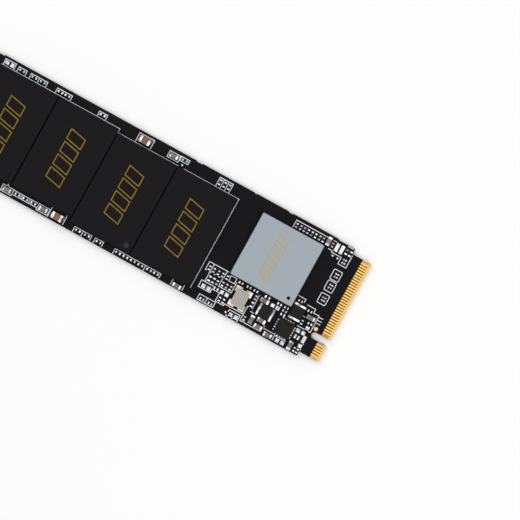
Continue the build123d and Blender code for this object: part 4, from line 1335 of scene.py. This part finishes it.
class CARD_OT_stage(bpy.types.Operator):
    """Set up the floor, the lamps and the camera"""

    bl_idname = "card.stage"
    bl_label = "Stage"

    def execute(self, context):
        stage = context.scene.card_stage
        deselect_all()
        bpy.ops.mesh.primitive_plane_add(size=stage.floor_size, location=(0, 0, -stage.floor_drop))
        floor = context.object
        floor.name = "floor"
        dull = {"Base Color": stage.floor_colour, "Roughness": 0.9, "Specular IOR Level": 0.1}
        dress(floor, start_finish("Pale floor", dull)[0])

        world = bpy.data.worlds.new("Room")
        world.use_nodes = True
        tree = world.node_tree
        tree.nodes.clear()
        sky = node(tree, "Background", {"Color": (1, 1, 1, 1), "Strength": stage.room_light})
        node(tree, "OutputWorld", {"Surface": sky})
        context.scene.world = world

        middle = Vector((stage.view_x, stage.view_y, BOARD_HIGH.z))
        for name, place, side, light in PANELS:
            offset = Vector(place)
            bpy.ops.object.light_add(type="AREA", location=middle + offset)
            lamp = context.object
            lamp.name = name
            lamp.data.size = side
            lamp.data.energy = getattr(stage, light) * math.pi * side * side
            lamp.rotation_euler = (-offset).to_track_quat("-Z", "Y").to_euler()

        height = stage.view_width * stage.lens / stage.sensor
        bpy.ops.object.camera_add(
            location=(stage.view_x, stage.view_y, BOARD_HIGH.z + height),
            rotation=(0, 0, stage.view_turn),
        )
        camera = context.object
        camera.data.lens = stage.lens
        camera.data.sensor_width = stage.sensor
        camera.data.clip_start, camera.data.clip_end = CAMERA_RANGE
        context.scene.camera = camera
        context.scene.view_settings.view_transform = "Standard"
        return {"FINISHED"}


class CARD_PT_panel(bpy.types.Panel):
    """Lists the steps that dress the card"""

    bl_idname = "CARD_PT_panel"
    bl_label = "Drive Card"
    bl_space_type = "VIEW_3D"
    bl_region_type = "UI"
    bl_category = "Drive Card"

    def draw(self, context):
        for step in STEPS:
            self.layout.operator(step.bl_idname)


STEPS = (
    CARD_OT_board,
    CARD_OT_packages,
    CARD_OT_chip_parts,
    CARD_OT_crystal,
    CARD_OT_solder_balls,
    CARD_OT_lands,
    CARD_OT_memory_print,
    CARD_OT_strip_print,
    CARD_OT_corner_print,
    CARD_OT_power_print,
    CARD_OT_package_marks,
    CARD_OT_pin_dot,
    CARD_OT_stage,
)
SETTINGS = {
    "card_print": PrintSettings,
    "card_solder": SolderSettings,
    "card_colours": ColourSettings,
    "card_stage": StageSettings,
}


def register():
    for kind in (*SETTINGS.values(), *STEPS, CARD_PT_panel):
        bpy.utils.register_class(kind)
    for name, kind in SETTINGS.items():
        setattr(bpy.types.Scene, name, PointerProperty(type=kind))


def unregister():
    for name in SETTINGS:
        delattr(bpy.types.Scene, name)
    for kind in reversed((*SETTINGS.values(), *STEPS, CARD_PT_panel)):
        bpy.utils.unregister_class(kind)


def main():
    register()
    for step in STEPS:
        group, name = step.bl_idname.split(".")
        getattr(getattr(bpy.ops, group), name)()


if __name__ == "__main__":
    main()
